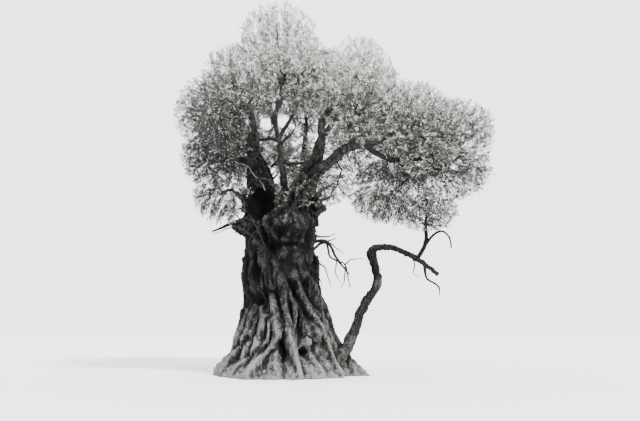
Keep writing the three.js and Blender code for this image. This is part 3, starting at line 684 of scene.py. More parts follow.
def new_object(name, points, faces, materials, choice=None):
    """A smooth mesh object from points (N, 3) and triangles (M, 3)."""
    mesh = bpy.data.meshes.new(name)
    mesh.vertices.add(len(points))
    mesh.vertices.foreach_set("co", np.asarray(points, np.float32).ravel())
    mesh.loops.add(faces.size)
    mesh.loops.foreach_set("vertex_index", np.asarray(faces, np.int32).ravel())
    mesh.polygons.add(len(faces))
    mesh.polygons.foreach_set("loop_start", np.arange(0, faces.size, 3, dtype=np.int32))
    mesh.polygons.foreach_set("use_smooth", np.ones(len(faces), bool))
    for material in materials:
        mesh.materials.append(material)
    if choice is not None:
        mesh.polygons.foreach_set("material_index", np.asarray(choice, np.int32))
    mesh.update(calc_edges=True)
    return placed(name, mesh)


def joined(parts):
    """One pair of points and faces from several."""
    offsets = np.cumsum([0] + [len(points) for points, _ in parts[:-1]])
    points = np.concatenate([points for points, _ in parts])
    faces = np.concatenate([faces + offset for (_, faces), offset in zip(parts, offsets)])
    return points, faces


def ring_faces(rings, sides, closed=True):
    """Triangles between rings of points, outward where the rings turn to the left of their way."""
    i = np.arange(rings - 1)[:, None] * sides
    j = np.arange(sides)
    here, beside = i + j, i + (j + 1) % sides
    above, across = here + sides, beside + sides
    faces = np.stack([here, beside, across, here, across, above], -1).reshape(-1, 3)
    if not closed:
        return faces
    foot, tip = rings * sides, rings * sides + 1
    last = (rings - 1) * sides
    foot_fan = np.column_stack([np.full(sides, foot), (j + 1) % sides, j])
    tip_fan = np.column_stack([np.full(sides, tip), last + j, last + (j + 1) % sides])
    return np.concatenate([faces, foot_fan, tip_fan])


def across(headings):
    """Two directions across each heading."""
    aside = np.where(np.abs(headings[:, 2:]) < 0.9, np.array([[0.0, 0, 1]]), np.array([[1.0, 0, 0]]))
    u = unit(np.cross(headings, aside))
    return u, np.cross(headings, u)


def all_round(u, v, sides):
    """Directions all round each line, from two across it: (N, sides, 3)."""
    turn = 2 * np.pi * np.arange(sides) / sides
    return np.cos(turn)[None, :, None] * u[:, None] + np.sin(turn)[None, :, None] * v[:, None]


def frames_along(centres):
    """Two directions across a line at each of its points, carried on without a twist."""
    along = unit(np.gradient(centres, axis=0))
    aside = np.array([0.0, 1, 0]) if abs(along[0, 2]) > 0.8 else np.array([0.0, 0, 1])
    first = unit(np.cross(along[0], aside))
    us = [first]
    for direction in along[1:]:
        carried = us[-1] - direction * (us[-1] @ direction)
        us.append(carried / np.linalg.norm(carried))
    us = np.array(us)
    return us, np.cross(along, us)


def tube(centres, radii, sides):
    """A closed tube. Its radii are one for each centre, or one for each centre and side."""
    centres = np.asarray(centres, float)
    radii = np.broadcast_to(np.asarray(radii, float).reshape(len(centres), -1), (len(centres), sides))
    rings = centres[:, None] + radii[..., None] * all_round(*frames_along(centres), sides)
    points = np.concatenate([rings.reshape(-1, 3), centres[[0, -1]]])
    return points, ring_faces(len(centres), sides)


def slim_tubes(lines, radii, sides):
    """Many open tapering tubes at once: lines (N, P, 3), radii (N, P)."""
    count, steps = radii.shape
    around = all_round(*across(unit(lines[:, -1] - lines[:, 0])), sides)
    points = lines[:, :, None] + radii[:, :, None, None] * around[:, None]
    faces = ring_faces(steps, sides, closed=False)
    offsets = (np.arange(count) * steps * sides)[:, None, None]
    return points.reshape(-1, 3), (faces[None] + offsets).reshape(-1, 3)


# Bark

BARK_VOXEL = 0.024
TRUNK_COLUMNS_PER_RIB = 22
TRUNK_ROW_STEP = 0.026

# Strands that stand out of the trunk: points of angle and height from top to foot, half width and bulge.
STRANDS = [
    ([(-34, 3.7), (-33, 3.35), (-25, 3.06), (-17, 2.78), (-13, 2.43), (-12, 2.28)], 0.15, 0.2),
    ([(-12, 2.3), (-7, 1.91), (-4, 1.54), (-3, 1.17), (-9, 0.85), (-18, 0.62), (-25, 0.3), (-30, 0.03)],
     0.125, 0.29),
    ([(2, 3), (4, 2.64), (6, 2.26), (7, 1.88), (9, 1.54), (11, 1.23), (12, 0.9), (13, 0.61), (17, 0.03)],
     0.13, 0.25),
    ([(14, 2.48), (16, 2.22), (20, 1.91), (21, 1.61), (19, 1.37), (14, 1.1)], 0.095, 0.2),
    ([(20, 1.5), (22, 1.3), (21, 1.13), (18, 0.86)], 0.06, 0.13),
    ([(15, 2.99), (18, 2.71), (27, 2.44), (33, 2.16), (39, 1.88), (48, 1.55), (56, 1.2), (59, 0.75),
     (58, 0.03)], 0.145, 0.27),
    ([(54, 2.85), (60, 2.54), (62, 2.18), (66, 1.8), (72, 1.4), (76, 1), (75, 0.03)], 0.15, 0.22),
    ([(42, 2.1), (50, 1.89), (60, 1.68), (69, 1.45)], 0.08, 0.18),
    ([(-44, 1.82), (-48, 1.47), (-47, 1.2), (-51, 0.95), (-62, 0.68), (-70, 0.4), (-74, 0.03)], 0.12, 0.22),
    ([(-20, 1.75), (-23, 1.4), (-27, 1.13), (-28, 0.86), (-35, 0.6), (-44, 0.34), (-50, 0.03)], 0.115, 0.2),
    ([(-14, 1.9), (-13, 1.44), (-15, 1.1), (-20, 0.8)], 0.06, 0.15),
    ([(-58, 2.05), (-63, 1.47), (-67, 1.1), (-76, 0.6), (-84, 0.05)], 0.13, 0.16),
    ([(-36, 1.78), (-37, 1.4), (-40, 1.05)], 0.08, 0.13),
    ([(-46, 3.45), (-47, 2.87), (-44, 2.5)], 0.15, 0.14),
    ([(-17, 4.45), (-20, 4.08), (-13, 3.83), (-6, 3.6)], 0.12, 0.15),
    ([(-7, 3.3), (-4, 2.92), (-3, 2.57), (-4, 2.3)], 0.11, 0.17),
    ([(36, 0.8), (38, 0.45), (39, 0.03)], 0.13, 0.12),
    ([(78, 2.5), (80, 2.1), (86, 1.4), (90, 0.7), (93, 0.03)], 0.15, 0.12),
    ([(-66, 4.2), (-69, 3.5), (-66, 2.8), (-68, 2.1)], 0.15, 0.1),
    ([(54, 4.5), (58, 3.9), (54, 3.4), (56, 3)], 0.12, 0.12),
    ([(-96, 3.6), (-99, 2.8), (-96, 2), (-99, 1.2), (-104, 0.5), (-106, 0.03)], 0.15, 0.12),
]
BACK_STRANDS = 9
BACK_STRAND_WIDTH = 0.12
BACK_STRAND_BULGE = 0.16

# Burls: angle, height, half width, half height and bulge.
BURLS = [
    (19, 4.05, 0.43, 0.38, 0.26),
    (31, 3.14, 0.18, 0.25, 0.17),
    (34, 2.72, 0.13, 0.17, 0.14),
    (24, 2.72, 0.11, 0.12, 0.11),
    (7, 3.23, 0.16, 0.16, 0.12),
    (44, 2.62, 0.17, 0.22, 0.14),
    (42, 1.23, 0.24, 0.29, 0.22),
    (33, 0.93, 0.18, 0.17, 0.18),
    (-38, 2.36, 0.24, 0.22, 0.12),
    (-25, 2.46, 0.12, 0.17, 0.1),
    (-56, 3.45, 0.22, 0.3, 0.1),
    (-84, 4.05, 0.28, 0.24, 0.18),
    (62, 3.75, 0.18, 0.26, 0.13),
    (140, 3.6, 0.34, 0.36, 0.18),
    (205, 2.9, 0.3, 0.42, 0.17),
    (165, 1.3, 0.26, 0.32, 0.16),
    (235, 3.8, 0.3, 0.3, 0.15),
]

# Clefts and holes: angle, height, half width, half height and depth.
CLEFTS = [
    (-30, 3.95, 0.1, 0.45, 0.22),
    (-38, 3.05, 0.07, 0.5, 0.16),
    (5, 3.88, 0.15, 0.15, 0.26),
    (-12, 3.4, 0.13, 0.2, 0.18),
    (14, 3.53, 0.46, 0.06, 0.14),
    (42, 2.32, 0.075, 0.2, 0.32),
    (53, 2.84, 0.06, 0.1, 0.17),
    (22, 2.24, 0.05, 0.22, 0.16),
    (-33, 1.98, 0.24, 0.11, 0.2),
    (-22, 1.88, 0.1, 0.16, 0.2),
    (-82, 1.7, 0.95, 0.62, 0.13),
    (84, 2.8, 0.55, 0.5, 0.11),
    (-20, 2.05, 0.07, 0.3, 0.18),
    (26, 0.64, 0.17, 0.085, 0.36),
    (0, 0.8, 0.07, 0.14, 0.26),
    (5, 0.66, 0.06, 0.14, 0.2),
    (-31, 1.3, 0.08, 0.22, 0.18),
    (28, 1.4, 0.06, 0.4, 0.16),
    (50, 3.62, 0.1, 0.26, 0.18),
    (56, 4.8, 0.16, 0.24, 0.24),
    (-50, 4.1, 0.07, 0.4, 0.14),
    (67, 0.62, 0.1, 0.22, 0.14),
    (150, 2.6, 0.1, 0.6, 0.22),
    (220, 1.6, 0.08, 0.5, 0.2),
    (190, 3.9, 0.14, 0.3, 0.2),
]


STRAND_WAVE = 0.22  # the share of its width by which a strand widens and narrows
STRAND_GROOVES = 0.08  # the share of its bulge that its grooves take
STRAND_FOOT = (-0.14, 0.10)  # it fades out over this much height about its ends, and more slowly at its top
STRAND_TOP = (-0.40, 0.12)
BURL_STEEPNESS = 1.6
CLEFT_STEEPNESS = 1.3


def strand_relief(angle, height, scale):
    """How far the strands stand out of the trunk, each a round cord, and how far they cover it."""
    lines = list(STRANDS)
    for i in range(BACK_STRANDS):
        middle = lerp(FIRST_BACK_RIB - 10, LAST_BACK_RIB + 8, i / (BACK_STRANDS - 1))
        heights = np.linspace(3.6 - 0.9 * (i % 3), 0.05, 7)
        angles = middle + 8 * np.sin(1.9 * heights + 2.3 * i) + 4.5 * np.cos(3.1 * heights + i)
        lines.append((list(zip(angles, heights)), BACK_STRAND_WIDTH, BACK_STRAND_BULGE))
    relief = np.zeros_like(angle)
    cover = np.zeros_like(angle)
    for number, (points, wide, bulge) in enumerate(lines):
        stops = np.array(points, float)
        curve = Limb(np.column_stack([stops, np.zeros(len(stops))]), [1, 1])
        steps = curve.point(np.linspace(0, 1, 10 * (len(stops) - 1)))
        tops = np.interp(height, steps[::-1, 1], np.radians(steps[::-1, 0]))
        width = wide * (1 + STRAND_WAVE * np.sin(4.3 * height + 1.7 * number))
        across = turned_by(angle, tops) * scale / width
        past = np.maximum(height - stops[0, 1], stops[-1, 1] - height)
        fade = 1 - smoothstep(past, *STRAND_FOOT)
        fade *= 1 - smoothstep(height, stops[0, 1] + STRAND_TOP[0], stops[0, 1] + STRAND_TOP[1])
        grooves = 1 - STRAND_GROOVES * np.abs(np.sin(2.4 * across + 1.6 * height + number))
        cord = np.clip(1 - across**2, 0, 1) ** 0.5 * fade
        relief = np.maximum(relief, bulge * grooves * cord)
        cover = np.maximum(cover, cord)
    return relief, cover


def spots_relief(spots, angle, height, scale, steep):
    """Rounded spots on the trunk, by the distance from each: positive for burls and for clefts alike."""
    relief = np.zeros_like(angle)
    for spot_angle, level, wide, tall, size in spots:
        across = turned_by(angle, math.radians(spot_angle)) * scale / wide
        away = across**2 + ((height - level) / tall) ** 2
        relief = np.maximum(relief, size * np.exp(-(away**steep)))
    return relief


def cords(angle, height, depth, size, stretch, level):
    """Rounded cords with sharp creases between them, as noise drawn out along the trunk."""
    sway = 0.16 * np.sin(2.3 * height + 3.0 * angle) + 0.10 * np.sin(4.9 * height - 2.0 * angle)
    x, y = np.sin(angle + sway), -np.cos(angle + sway)
    at = np.stack([x, y, height / stretch], -1).reshape(-1, 3) / size
    raw = np.array([noise.fractal(point, 1.0, 2.0, 2) for point in at.tolist()])
    return depth * (np.minimum(1, 1.9 * np.abs(raw)).reshape(angle.shape) ** 0.7 - level)


# The layers of rounded cords: depth, size across, stretch upwards, and the level they swing about.
LONG_CORDS = (0.075, 0.15, 6.5, 0.75)
LUMPS = (0.120, 0.24, 1.3, 0.75)
FINE_CORDS = (0.040, 0.06, 4.0, 0.7)
LUMPS_FROM = (2.5, 3.4)  # between these heights lumps take over from long cords
SMOOTH_STRANDS = 0.65  # the share of the noise that a strand is free of
PLAIN_FURROWS = 0.35  # the share of the solid's even furrows that is kept above the roots
ROOT_FURROWS = 0.8  # the share that is kept among the roots
ROOTS_END = (0.3, 1.6)
RELIEF_ON_BURLS = 0.7  # the share of the other relief that shows on a burl
SLIMMER_CROWN = 0.98  # the share of its radius that the trunk keeps above the fork's foot
LEAST_RADIUS = 0.3  # for the width of spots near the trunk's top
ROOM_FOR_STRANDS = 0.085  # by which the body under the strands is slimmer than the solid
SKIRT = (0.08, 0.62)  # between these heights the strands sink a little towards the ground
SKIRT_RELIEF = 0.62  # the share of their relief that is left at the ground


def trunk_body():
    """The trunk as one closed mesh: its solid's form with irregular cords, strands, burls and clefts."""
    heights = np.append(np.arange(0, CROWN_TOP, TRUNK_ROW_STEP), CROWN_TOP - 0.002)
    k = np.repeat(np.arange(RIBS), TRUNK_COLUMNS_PER_RIB)
    share = np.tile(np.arange(TRUNK_COLUMNS_PER_RIB) / TRUNK_COLUMNS_PER_RIB, RIBS)
    k, height = np.meshgrid(k, heights)
    share = np.broadcast_to(share, k.shape)
    following = (k + 1) % RIBS
    turn = np.where(following == 0, 2 * np.pi, 0)
    angle = lerp(rib_angle(k, height), rib_angle(following, height) + turn, share)
    even = trunk_radius(k, share, angle, height)
    at_ridge = np.zeros_like(share)
    ridge = trunk_radius(k, at_ridge, angle, height)
    ridge = lerp(ridge, trunk_radius(following, at_ridge, angle, height), smoothstep(share, 0, 1))
    skirt = lerp(SKIRT_RELIEF, 1, smoothstep(height, *SKIRT))
    furrows = lerp(ROOT_FURROWS, PLAIN_FURROWS, smoothstep(height, *ROOTS_END))
    radius = lerp(ridge, even, furrows * skirt) - ROOM_FOR_STRANDS * skirt
    scale = np.maximum(radius, LEAST_RADIUS)
    lumpy = smoothstep(height, *LUMPS_FROM)
    strands, cover = strand_relief(angle, height, scale)
    relief = cords(angle, height, *LONG_CORDS) * (1 - lumpy)
    relief += cords(angle, height, *LUMPS) * lumpy
    relief += cords(angle, height, *FINE_CORDS)
    relief = relief * (1 - SMOOTH_STRANDS * cover) + strands * skirt
    burls = spots_relief(BURLS, angle, height, scale, BURL_STEEPNESS)
    relief = np.maximum(relief, burls + RELIEF_ON_BURLS * relief)
    relief -= spots_relief(CLEFTS, angle, height, scale, CLEFT_STEEPNESS)
    radius = (radius + relief) * np.where(height > CROWN_FOOT, SLIMMER_CROWN, 1)
    points = np.stack([axis_x(height) + radius * np.sin(angle), -radius * np.cos(angle), height], -1)
    rings, sides = k.shape
    ends = np.array([[axis_x(0), 0, 0], [axis_x(CROWN_TOP), 0, CROWN_TOP]])
    return np.concatenate([points.reshape(-1, 3), ends]), ring_faces(rings, sides)


def rough(point, size, octaves=4):
    """Even fractal noise from about -1 to 1, with details of that size and smaller."""
    return noise.fractal(Vector(point) / size, 1.0, 2.0, octaves)


LIMB_KNOTS = 0.16
LIMB_ROUGHNESS = 0.10
LIMB_RIDGES = 0.05
LIMB_SWAY = 0.30


def limb_tube(name, sides=20, step=0.045):
    """A limb with its bark: ridges along it and knots on it."""
    limb = limbs[name]
    shares = np.linspace(0, 1, max(4, int(limb.length() / step)))
    centres = limb.point(shares)
    radii = limb.radius(shares)
    own = sum(ord(letter) for letter in name)
    travelled = np.concatenate([[0], np.cumsum(np.linalg.norm(np.diff(centres, axis=0), axis=1))])
    sway = np.array([[rough((own, 3.1 * axis, s), 0.45, 2) for axis in range(3)] for s in travelled])
    ends = np.clip(np.minimum(travelled, travelled[-1] - travelled) / 0.3, 0, 1)
    centres = centres + LIMB_SWAY * (radii * ends)[:, None] * sway
    turn = 2 * np.pi * np.arange(sides) / sides
    relief = np.zeros((len(centres), sides))
    for i, s in enumerate(travelled):
        for j, a in enumerate(turn):
            at = (own + 1.2 * math.cos(a), 1.2 * math.sin(a), 1.4 * s / (radii[i] + 0.08) * 0.12)
            relief[i, j] = LIMB_ROUGHNESS * rough(at, 0.5, 3)
            relief[i, j] += LIMB_KNOTS * max(0, rough(at, 1.0, 1) - 0.25)
    ridges = LIMB_RIDGES * np.sin(3 * turn[None] + 2.5 * travelled[:, None] / 0.9 + own)
    return tube(centres, radii[:, None] * (1 + ridges + relief), sides)


# Limbs thick enough to be one mesh with the trunk. The others are tubes of their own that root in them.
FUSED_LIMBS = [
    "bough_left", "bough_right", "bough_middle", "bough_right_long", "bough_back_left", "bough_back",
    "bough_left_hanging", "arm_lower", "arm_upper",
]
DEAD_LIMBS = ["dead_branch_left", "dead_branch_right"]

# The rim over the hollow, and stubs of lost limbs: start, end and radii at both.
ARCH = [
    (-1.16, -0.45, 4.45), (-1.16, -0.52, 4.92), (-0.98, -0.74, 5.26), (-0.56, -0.88, 5.3),
    (-0.22, -0.94, 4.92),
]
ARCH_RADII = [0.15, 0.10, 0.045, 0.045, 0.09]
STUBS = [
    ((0.45, -0.75, 4.95), (0.82, -1, 5.44), 0.1, 0.042),
    ((0.7, -0.45, 4.85), (1.16, -0.62, 5.2), 0.1, 0.04),
    ((0.2, -0.8, 4.75), (0.5, -1.03, 5.38), 0.085, 0.036),
    ((0.72, -0.6, 4.6), (1.12, -0.84, 4.84), 0.1, 0.04),
    ((0.02, -0.7, 4.8), (0.32, -0.88, 5.52), 0.08, 0.034),
    ((0.6, -0.6, 5), (0.4, -0.9, 5.48), 0.08, 0.036),
    ((0.74, -0.5, 4.42), (1.02, -0.66, 4.52), 0.11, 0.05),
    ((0.2, 0.55, 4.9), (0.42, 0.8, 5.3), 0.16, 0.09),
    ((-0.95, 0.45, 4.7), (-1.3, 0.7, 4.95), 0.14, 0.08),
]
STUB_SWAY = 0.05
HOLLOW_UNEVEN = 0.12
BARK_FACES = 190_000
BARK_GRAIN = (-0.018, 0.012)  # how far creases stand out, here inward, and how far the grain does
LIMB_GRAIN = (-0.005, 0.004)
BARK_ROUNDS = 24  # of smoothing, to tell what stands out of the surface
LIMB_ROUNDS = 6
KINK = 0.035
KINK_LENGTH = 0.16

# Thin bare twigs about the trunk and between the boughs, each a line and the radii at its ends.
BARE_TWIGS = [
    ([(0.62, -0.3, 3.36), (0.88, -0.36, 3.58), (1.04, -0.41, 3.61), (1.11, -0.47, 3.39),
     (1.15, -0.52, 3.21), (1.34, -0.58, 3.11), (1.56, -0.64, 2.98), (1.64, -0.69, 2.66),
     (1.69, -0.75, 2.34)], 0.042, 0.013),
    ([(1.02, -0.41, 3.61), (1.22, -0.44, 3.7), (1.31, -0.5, 3.75)], 0.022, 0.01),
    ([(1.02, -0.41, 3.61), (1.22, -0.32, 3.58), (1.35, -0.26, 3.44), (1.55, -0.2, 3.34)], 0.024, 0.01),
    ([(1.54, -0.64, 2.98), (1.77, -0.56, 3.13), (2.06, -0.5, 3.17)], 0.022, 0.01),
    ([(0.6, -0.3, 3.4), (0.84, -0.4, 3.11), (0.82, -0.5, 2.81), (0.93, -0.55, 2.45)], 0.034, 0.01),
    ([(0.83, -0.42, 3.06), (1.02, -0.46, 2.92), (1.09, -0.5, 2.67), (1.19, -0.52, 2.4)], 0.024, 0.01),
    ([(1.57, -0.65, 2.94), (1.55, -0.71, 2.59), (1.44, -0.8, 2.34)], 0.022, 0.01),
    ([(1.34, -0.58, 3.11), (1.3, -0.62, 2.8), (1.42, -0.66, 2.52)], 0.02, 0.009),
    ([(0.55, -0.2, 4.02), (0.77, -0.4, 4.3), (0.9, -0.5, 4.39)], 0.034, 0.012),
    ([(0.55, -0.25, 3.95), (0.88, -0.4, 3.79), (1.13, -0.5, 3.78), (1.31, -0.6, 3.85)], 0.034, 0.01),
    ([(-0.9, -0.6, 3.72), (-1.35, -0.85, 4), (-1.63, -0.9, 3.96), (-1.83, -0.95, 3.83), (-2.02, -1, 3.82)],
     0.024, 0.007),
    ([(-1.05, -0.6, 4.05), (-1.4, -0.9, 4.31), (-1.5, -1, 4.51)], 0.02, 0.006),
    ([(-1.02, -0.7, 4.3), (-0.8, -1.02, 3.9), (-0.65, -1.08, 3.58), (-0.58, -0.95, 3.4)], 0.017, 0.01),
    ([(-0.6, -0.9, 4.16), (-0.91, -0.98, 3.83), (-1.05, -0.88, 3.5), (-1.02, -0.7, 3.3)], 0.015, 0.01),
    ([(-1, 0.05, 6.55), (-0.8, 0.05, 6.61), (-0.55, 0.08, 6.66), (-0.29, 0.15, 6.57)], 0.044, 0.036),
    ([(-0.21, 0.15, 6), (0.02, 0.05, 5.9), (0.3, 0, 5.92), (0.72, 0, 5.98)], 0.04, 0.036),
    ([(-0.25, 0.15, 6.38), (-0.16, 0.05, 6.6), (0.06, -0.05, 6.72), (0.18, -0.1, 7), (0.08, -0.15, 7.3)],
     0.036, 0.016),
    ([(-0.6, 0.1, 6.68), (-0.5, 0.12, 6.95), (-0.56, 0.15, 7.3)], 0.026, 0.012),
    ([(-0.98, 0.05, 6.4), (-1.22, -0.1, 6.44), (-1.45, -0.2, 6.36)], 0.034, 0.012),
    ([(1.3, -0.33, 6.04), (1.47, -0.36, 5.62), (1.38, -0.38, 5.24), (1.6, -0.4, 4.95), (1.91, -0.42, 4.72)],
     0.024, 0.008),
    ([(1.39, -0.38, 5.28), (1.22, -0.45, 5.02), (1.1, -0.5, 4.86)], 0.012, 0.006),
    ([(3.02, -0.3, 5.98), (3.22, -0.25, 5.74), (3.38, -0.25, 5.51), (3.6, -0.28, 5.3), (3.79, -0.3, 5.16)],
     0.024, 0.007),
    ([(3.36, -0.43, 3.27), (3.48, -0.45, 3.03), (3.43, -0.46, 2.8), (3.58, -0.48, 2.64)], 0.024, 0.008),
]

# Thin twigs with leaves, over the fork and beside the hollow, in the same form.
LEAFY_TWIGS = [
    ([(-0.31, -0.95, 4.28), (-0.14, -1.17, 4.54), (0.02, -1.23, 4.76), (0.15, -1.3, 5)], 0.024, 0.008),
    ([(0.04, -1, 4.42), (0.32, -1.13, 4.71), (0.6, -1.17, 4.77), (0.97, -1.2, 5.02)], 0.028, 0.008),
    ([(0.07, -1.05, 4.38), (0.46, -1.18, 4.56), (0.88, -1.2, 4.59)], 0.022, 0.007),
    ([(-0.35, -0.95, 4.22), (-0.24, -1.17, 4.56), (-0.19, -1.23, 4.83), (-0.24, -1.3, 5.07)], 0.022, 0.007),
    ([(0.25, -0.95, 4.45), (0.21, -1.17, 4.81), (0.35, -1.23, 5.01), (0.57, -1.3, 5.18)], 0.026, 0.008),
    ([(0.4, -0.85, 4.5), (0.55, -1.05, 4.9), (0.86, -1.12, 5.24), (1.16, -1.1, 5.36)], 0.024, 0.008),
    ([(-1.1, -0.55, 4.6), (-1.22, -0.95, 4.8), (-1.12, -1.2, 4.98), (-0.98, -1.3, 4.86)], 0.018, 0.005),
    ([(-1.15, -0.5, 4.55), (-1.38, -0.8, 4.5), (-1.5, -1, 4.28), (-1.56, -1.05, 4.05)], 0.018, 0.005),
    ([(-1.12, -0.5, 4.85), (-1.35, -0.8, 5.1), (-1.32, -1, 5.38), (-1.18, -1.05, 5.52)], 0.018, 0.005),
    ([(0.7, -0.6, 4.4), (1.05, -0.85, 4.62), (1.22, -0.95, 4.92), (1.2, -1, 5.18)], 0.018, 0.005),
    ([(0.1, -1, 4.5), (0.02, -1.25, 4.3), (-0.05, -1.32, 4.05)], 0.014, 0.005),
]

# Pale bare shoots that hang from the left bough to the hollow's rim, in the same form.
PALE_TWIGS = [
    ([(-1.14, -0.3, 5.79), (-1.27, -0.55, 5.54), (-1.29, -0.68, 5.31), (-1.2, -0.82, 5.11),
     (-1.04, -0.95, 4.99)], 0.02, 0.01),
    ([(-1.14, -0.3, 5.79), (-0.94, -0.6, 5.47), (-0.72, -0.77, 5.22), (-0.61, -0.95, 4.99)], 0.018, 0.01),
    ([(-1.14, -0.3, 5.79), (-1.28, -0.44, 5.81), (-1.44, -0.5, 5.78)], 0.014, 0.007),
]


def modified(piece, kind, **settings):
    """Applies one modifier to a piece's mesh."""
    modifier = piece.modifiers.new(kind, kind)
    for setting, value in settings.items():
        setattr(modifier, setting, value)
    bpy.context.view_layer.update()
    evaluated = piece.evaluated_get(bpy.context.evaluated_depsgraph_get())
    old = piece.data
    piece.data = bpy.data.meshes.new_from_object(evaluated)
    piece.modifiers.clear()
    bpy.data.meshes.remove(old)


def hollow_cutter():
    """An egg-shaped body with an uneven wall, to cut the hollow with."""
    rings, sides = 24, 36
    centre = np.array(HOLLOW_CENTRE)
    level = np.linspace(0.06, math.pi - 0.06, rings)[:, None]
    turn = 2 * np.pi * np.arange(sides) / sides
    x = HOLLOW_RADII[0] * np.sin(level) * np.cos(turn)
    y = HOLLOW_RADII[1] * np.sin(level) * np.sin(turn)
    z = -HOLLOW_RADII[2] * np.cos(level) + 0 * turn
    points = centre + np.stack([x, y, z], -1).reshape(-1, 3)
    uneven = np.array([1 + HOLLOW_UNEVEN * rough(point, 0.4, 3) for point in points])
    ends = centre + np.array([[0, 0, z[0, 0]], [0, 0, z[-1, 0]]])
    return np.concatenate([centre + (points - centre) * uneven[:, None], ends]), ring_faces(rings, sides)


def read(items, field, width, kind=np.float32):
    """One field of a mesh's vertices or edges as rows of an array."""
    values = np.empty(len(items) * width, kind)
    items.foreach_get(field, values)
    return values.reshape(-1, width)


def coordinates(mesh):
    return read(mesh.vertices, "co", 3).astype(float)


def normals_of(mesh):
    return read(mesh.vertices, "normal", 3).astype(float)


def edges_of(mesh):
    return read(mesh.edges, "vertices", 2, np.int32)


def smoothed(points, edges, rounds, strength=0.5):
    """Points drawn towards the mean of their neighbours, round after round."""
    ends = np.concatenate([edges, edges[:, ::-1]])
    count = np.maximum(np.bincount(ends[:, 0], minlength=len(points)), 1)
    for _ in range(rounds):
        sums = np.column_stack([
            np.bincount(ends[:, 0], values[ends[:, 1]], len(points)) for values in points.T
        ])
        points = lerp(points, sums / count[:, None], strength)
    return points


def set_points(mesh, points):
    mesh.vertices.foreach_set("co", np.asarray(points, np.float32).ravel())
    mesh.update()


def roughen(piece, ridge, grain):
    """Moves a mesh's points along their normals: long creases up the limb, and grain, coarser high up."""
    points = coordinates(piece.data)
    normals = normals_of(piece.data)
    grains = grain * (1 + smoothstep(points[:, 2], 2.8, 3.6))
    moved = np.array([
        ridge * (1 - 2.5 * abs(rough((x, y, 0.30 * z), 0.13, 3))) + size * rough((x, y, 0.6 * z), 0.05, 2)
        for (x, y, z), size in zip(points, grains)
    ])
    points += moved[:, None] * normals
    points[:, 2] = np.maximum(points[:, 2], 0)
    set_points(piece.data, points)


RELIEF_RANGE = 0.05

# How much paler than its base the bark is at heights up the tree: painted light on the flare at its foot,
# and painted shade under the crown, with partly damper bark there. Then paler and darker spots on it, each
# with its middle, its radius and how much paler it is there.
PALE_HEIGHTS = [0.0, 0.7, 1.6, 2.6, 3.4, 5.5, 8.0]
PALENESS_AND_CROWN_SHADE = [-0.58, -0.70, -0.95, -1.09, -1.12, -0.97, -0.85]
SPOTS_WITH_PAINTED_LIGHT_AND_SHADE = [
    # A pale knot at the arm's bend, then darker patches along the arm.
    ((2.45, -0.45, 2.52), 0.17, 0.34),
    ((1.85, -0.42, 1.1), 0.7, -0.2),
    ((2.5, -0.43, 2.4), 0.95, -0.17),
    ((3.5, -0.43, 3.1), 0.95, -0.12),
    # Painted shade on the trunk's left side, then a darker patch by the arm's foot.
    ((-1.2, -0.5, 2.6), 0.9, -0.1),
    ((1.85, -0.6, 0.35), 0.55, -0.13),
    # Painted shade on the left bough's foot, over the hollow's rim.
    ((-0.8, -0.8, 5.15), 0.6, -0.1),
    ((-0.95, -0.2, 5.5), 0.75, -0.06),
    # Painted highlights on the lit ridges of the strands in front.
    ((-0.38, -1.05, 1.75), 0.35, 0.12),
    ((-0.32, -1.2, 1.25), 0.3, 0.14),
    ((1.05, -1, 1.75), 0.35, 0.12),
]


def store(piece, name, values):
    attribute = piece.data.attributes.new(name, "FLOAT", "POINT")
    attribute.data.foreach_set("value", values.astype(np.float32))


def mark_bark(piece, rounds):
    """Stores how far each point stands out of the smoothed surface, and how pale the bark is there."""
    points = coordinates(piece.data)
    edges = edges_of(piece.data)
    height = ((points - smoothed(points, edges, rounds)) * normals_of(piece.data)).sum(1)
    height = smoothed(height[:, None], edges, 1)[:, 0]
    # The bark's colour turns this relief into painted shade in furrows and painted highlight on ridges.
    store(piece, "relief", np.clip(0.5 + height / RELIEF_RANGE, 0, 1))
    # Paler at the foot and darker under the crown: painted light and shade, partly damper bark.
    painted_light_and_paleness = np.interp(points[:, 2], PALE_HEIGHTS, PALENESS_AND_CROWN_SHADE)
    for middle, radius, more in SPOTS_WITH_PAINTED_LIGHT_AND_SHADE:
        away = np.linalg.norm(points - np.array(middle), axis=1) / radius
        painted_light_and_paleness += more * np.exp(-(away**4))
    # The 'pale' attribute carries this painted light and shade, and the spots, into the bark's colour.
    store(piece, "pale", painted_light_and_paleness)


def make_trunk(material):
    parts = [trunk_body()]
    parts += [limb_tube(name) for name in FUSED_LIMBS]
    arch = Limb(ARCH, ARCH_RADII)
    shares = np.linspace(0, 1, 40)
    parts.append(tube(arch.point(shares), arch.radius(shares), 16))
    for start, end, foot, tip in STUBS:
        shares = np.linspace(0, 1, 12)
        line = lerp(np.array(start), np.array(end), shares[:, None])
        line[:, 0] += STUB_SWAY * np.sin(2.6 * np.pi * shares + 9 * start[0])
        parts.append(tube(line, lerp(foot, tip, shares), 12))
    piece = new_object("trunk_bark", *joined(parts), [material])
    modified(piece, "REMESH", mode="VOXEL", voxel_size=BARK_VOXEL, use_smooth_shade=True)
    cutter = new_object("hollow_cutter", *hollow_cutter(), [material])
    modified(piece, "BOOLEAN", operation="DIFFERENCE", object=cutter, solver="MANIFOLD")
    bpy.data.objects.remove(cutter)
    set_points(piece.data, smoothed(coordinates(piece.data), edges_of(piece.data), 2))
    roughen(piece, *BARK_GRAIN)
    faces = sum(len(face.vertices) - 2 for face in piece.data.polygons)
    if faces > BARK_FACES:
        modified(piece, "DECIMATE", ratio=BARK_FACES / faces)
    piece.data.polygons.foreach_set("use_smooth", np.ones(len(piece.data.polygons), bool))
    mark_bark(piece, BARK_ROUNDS)
    return piece


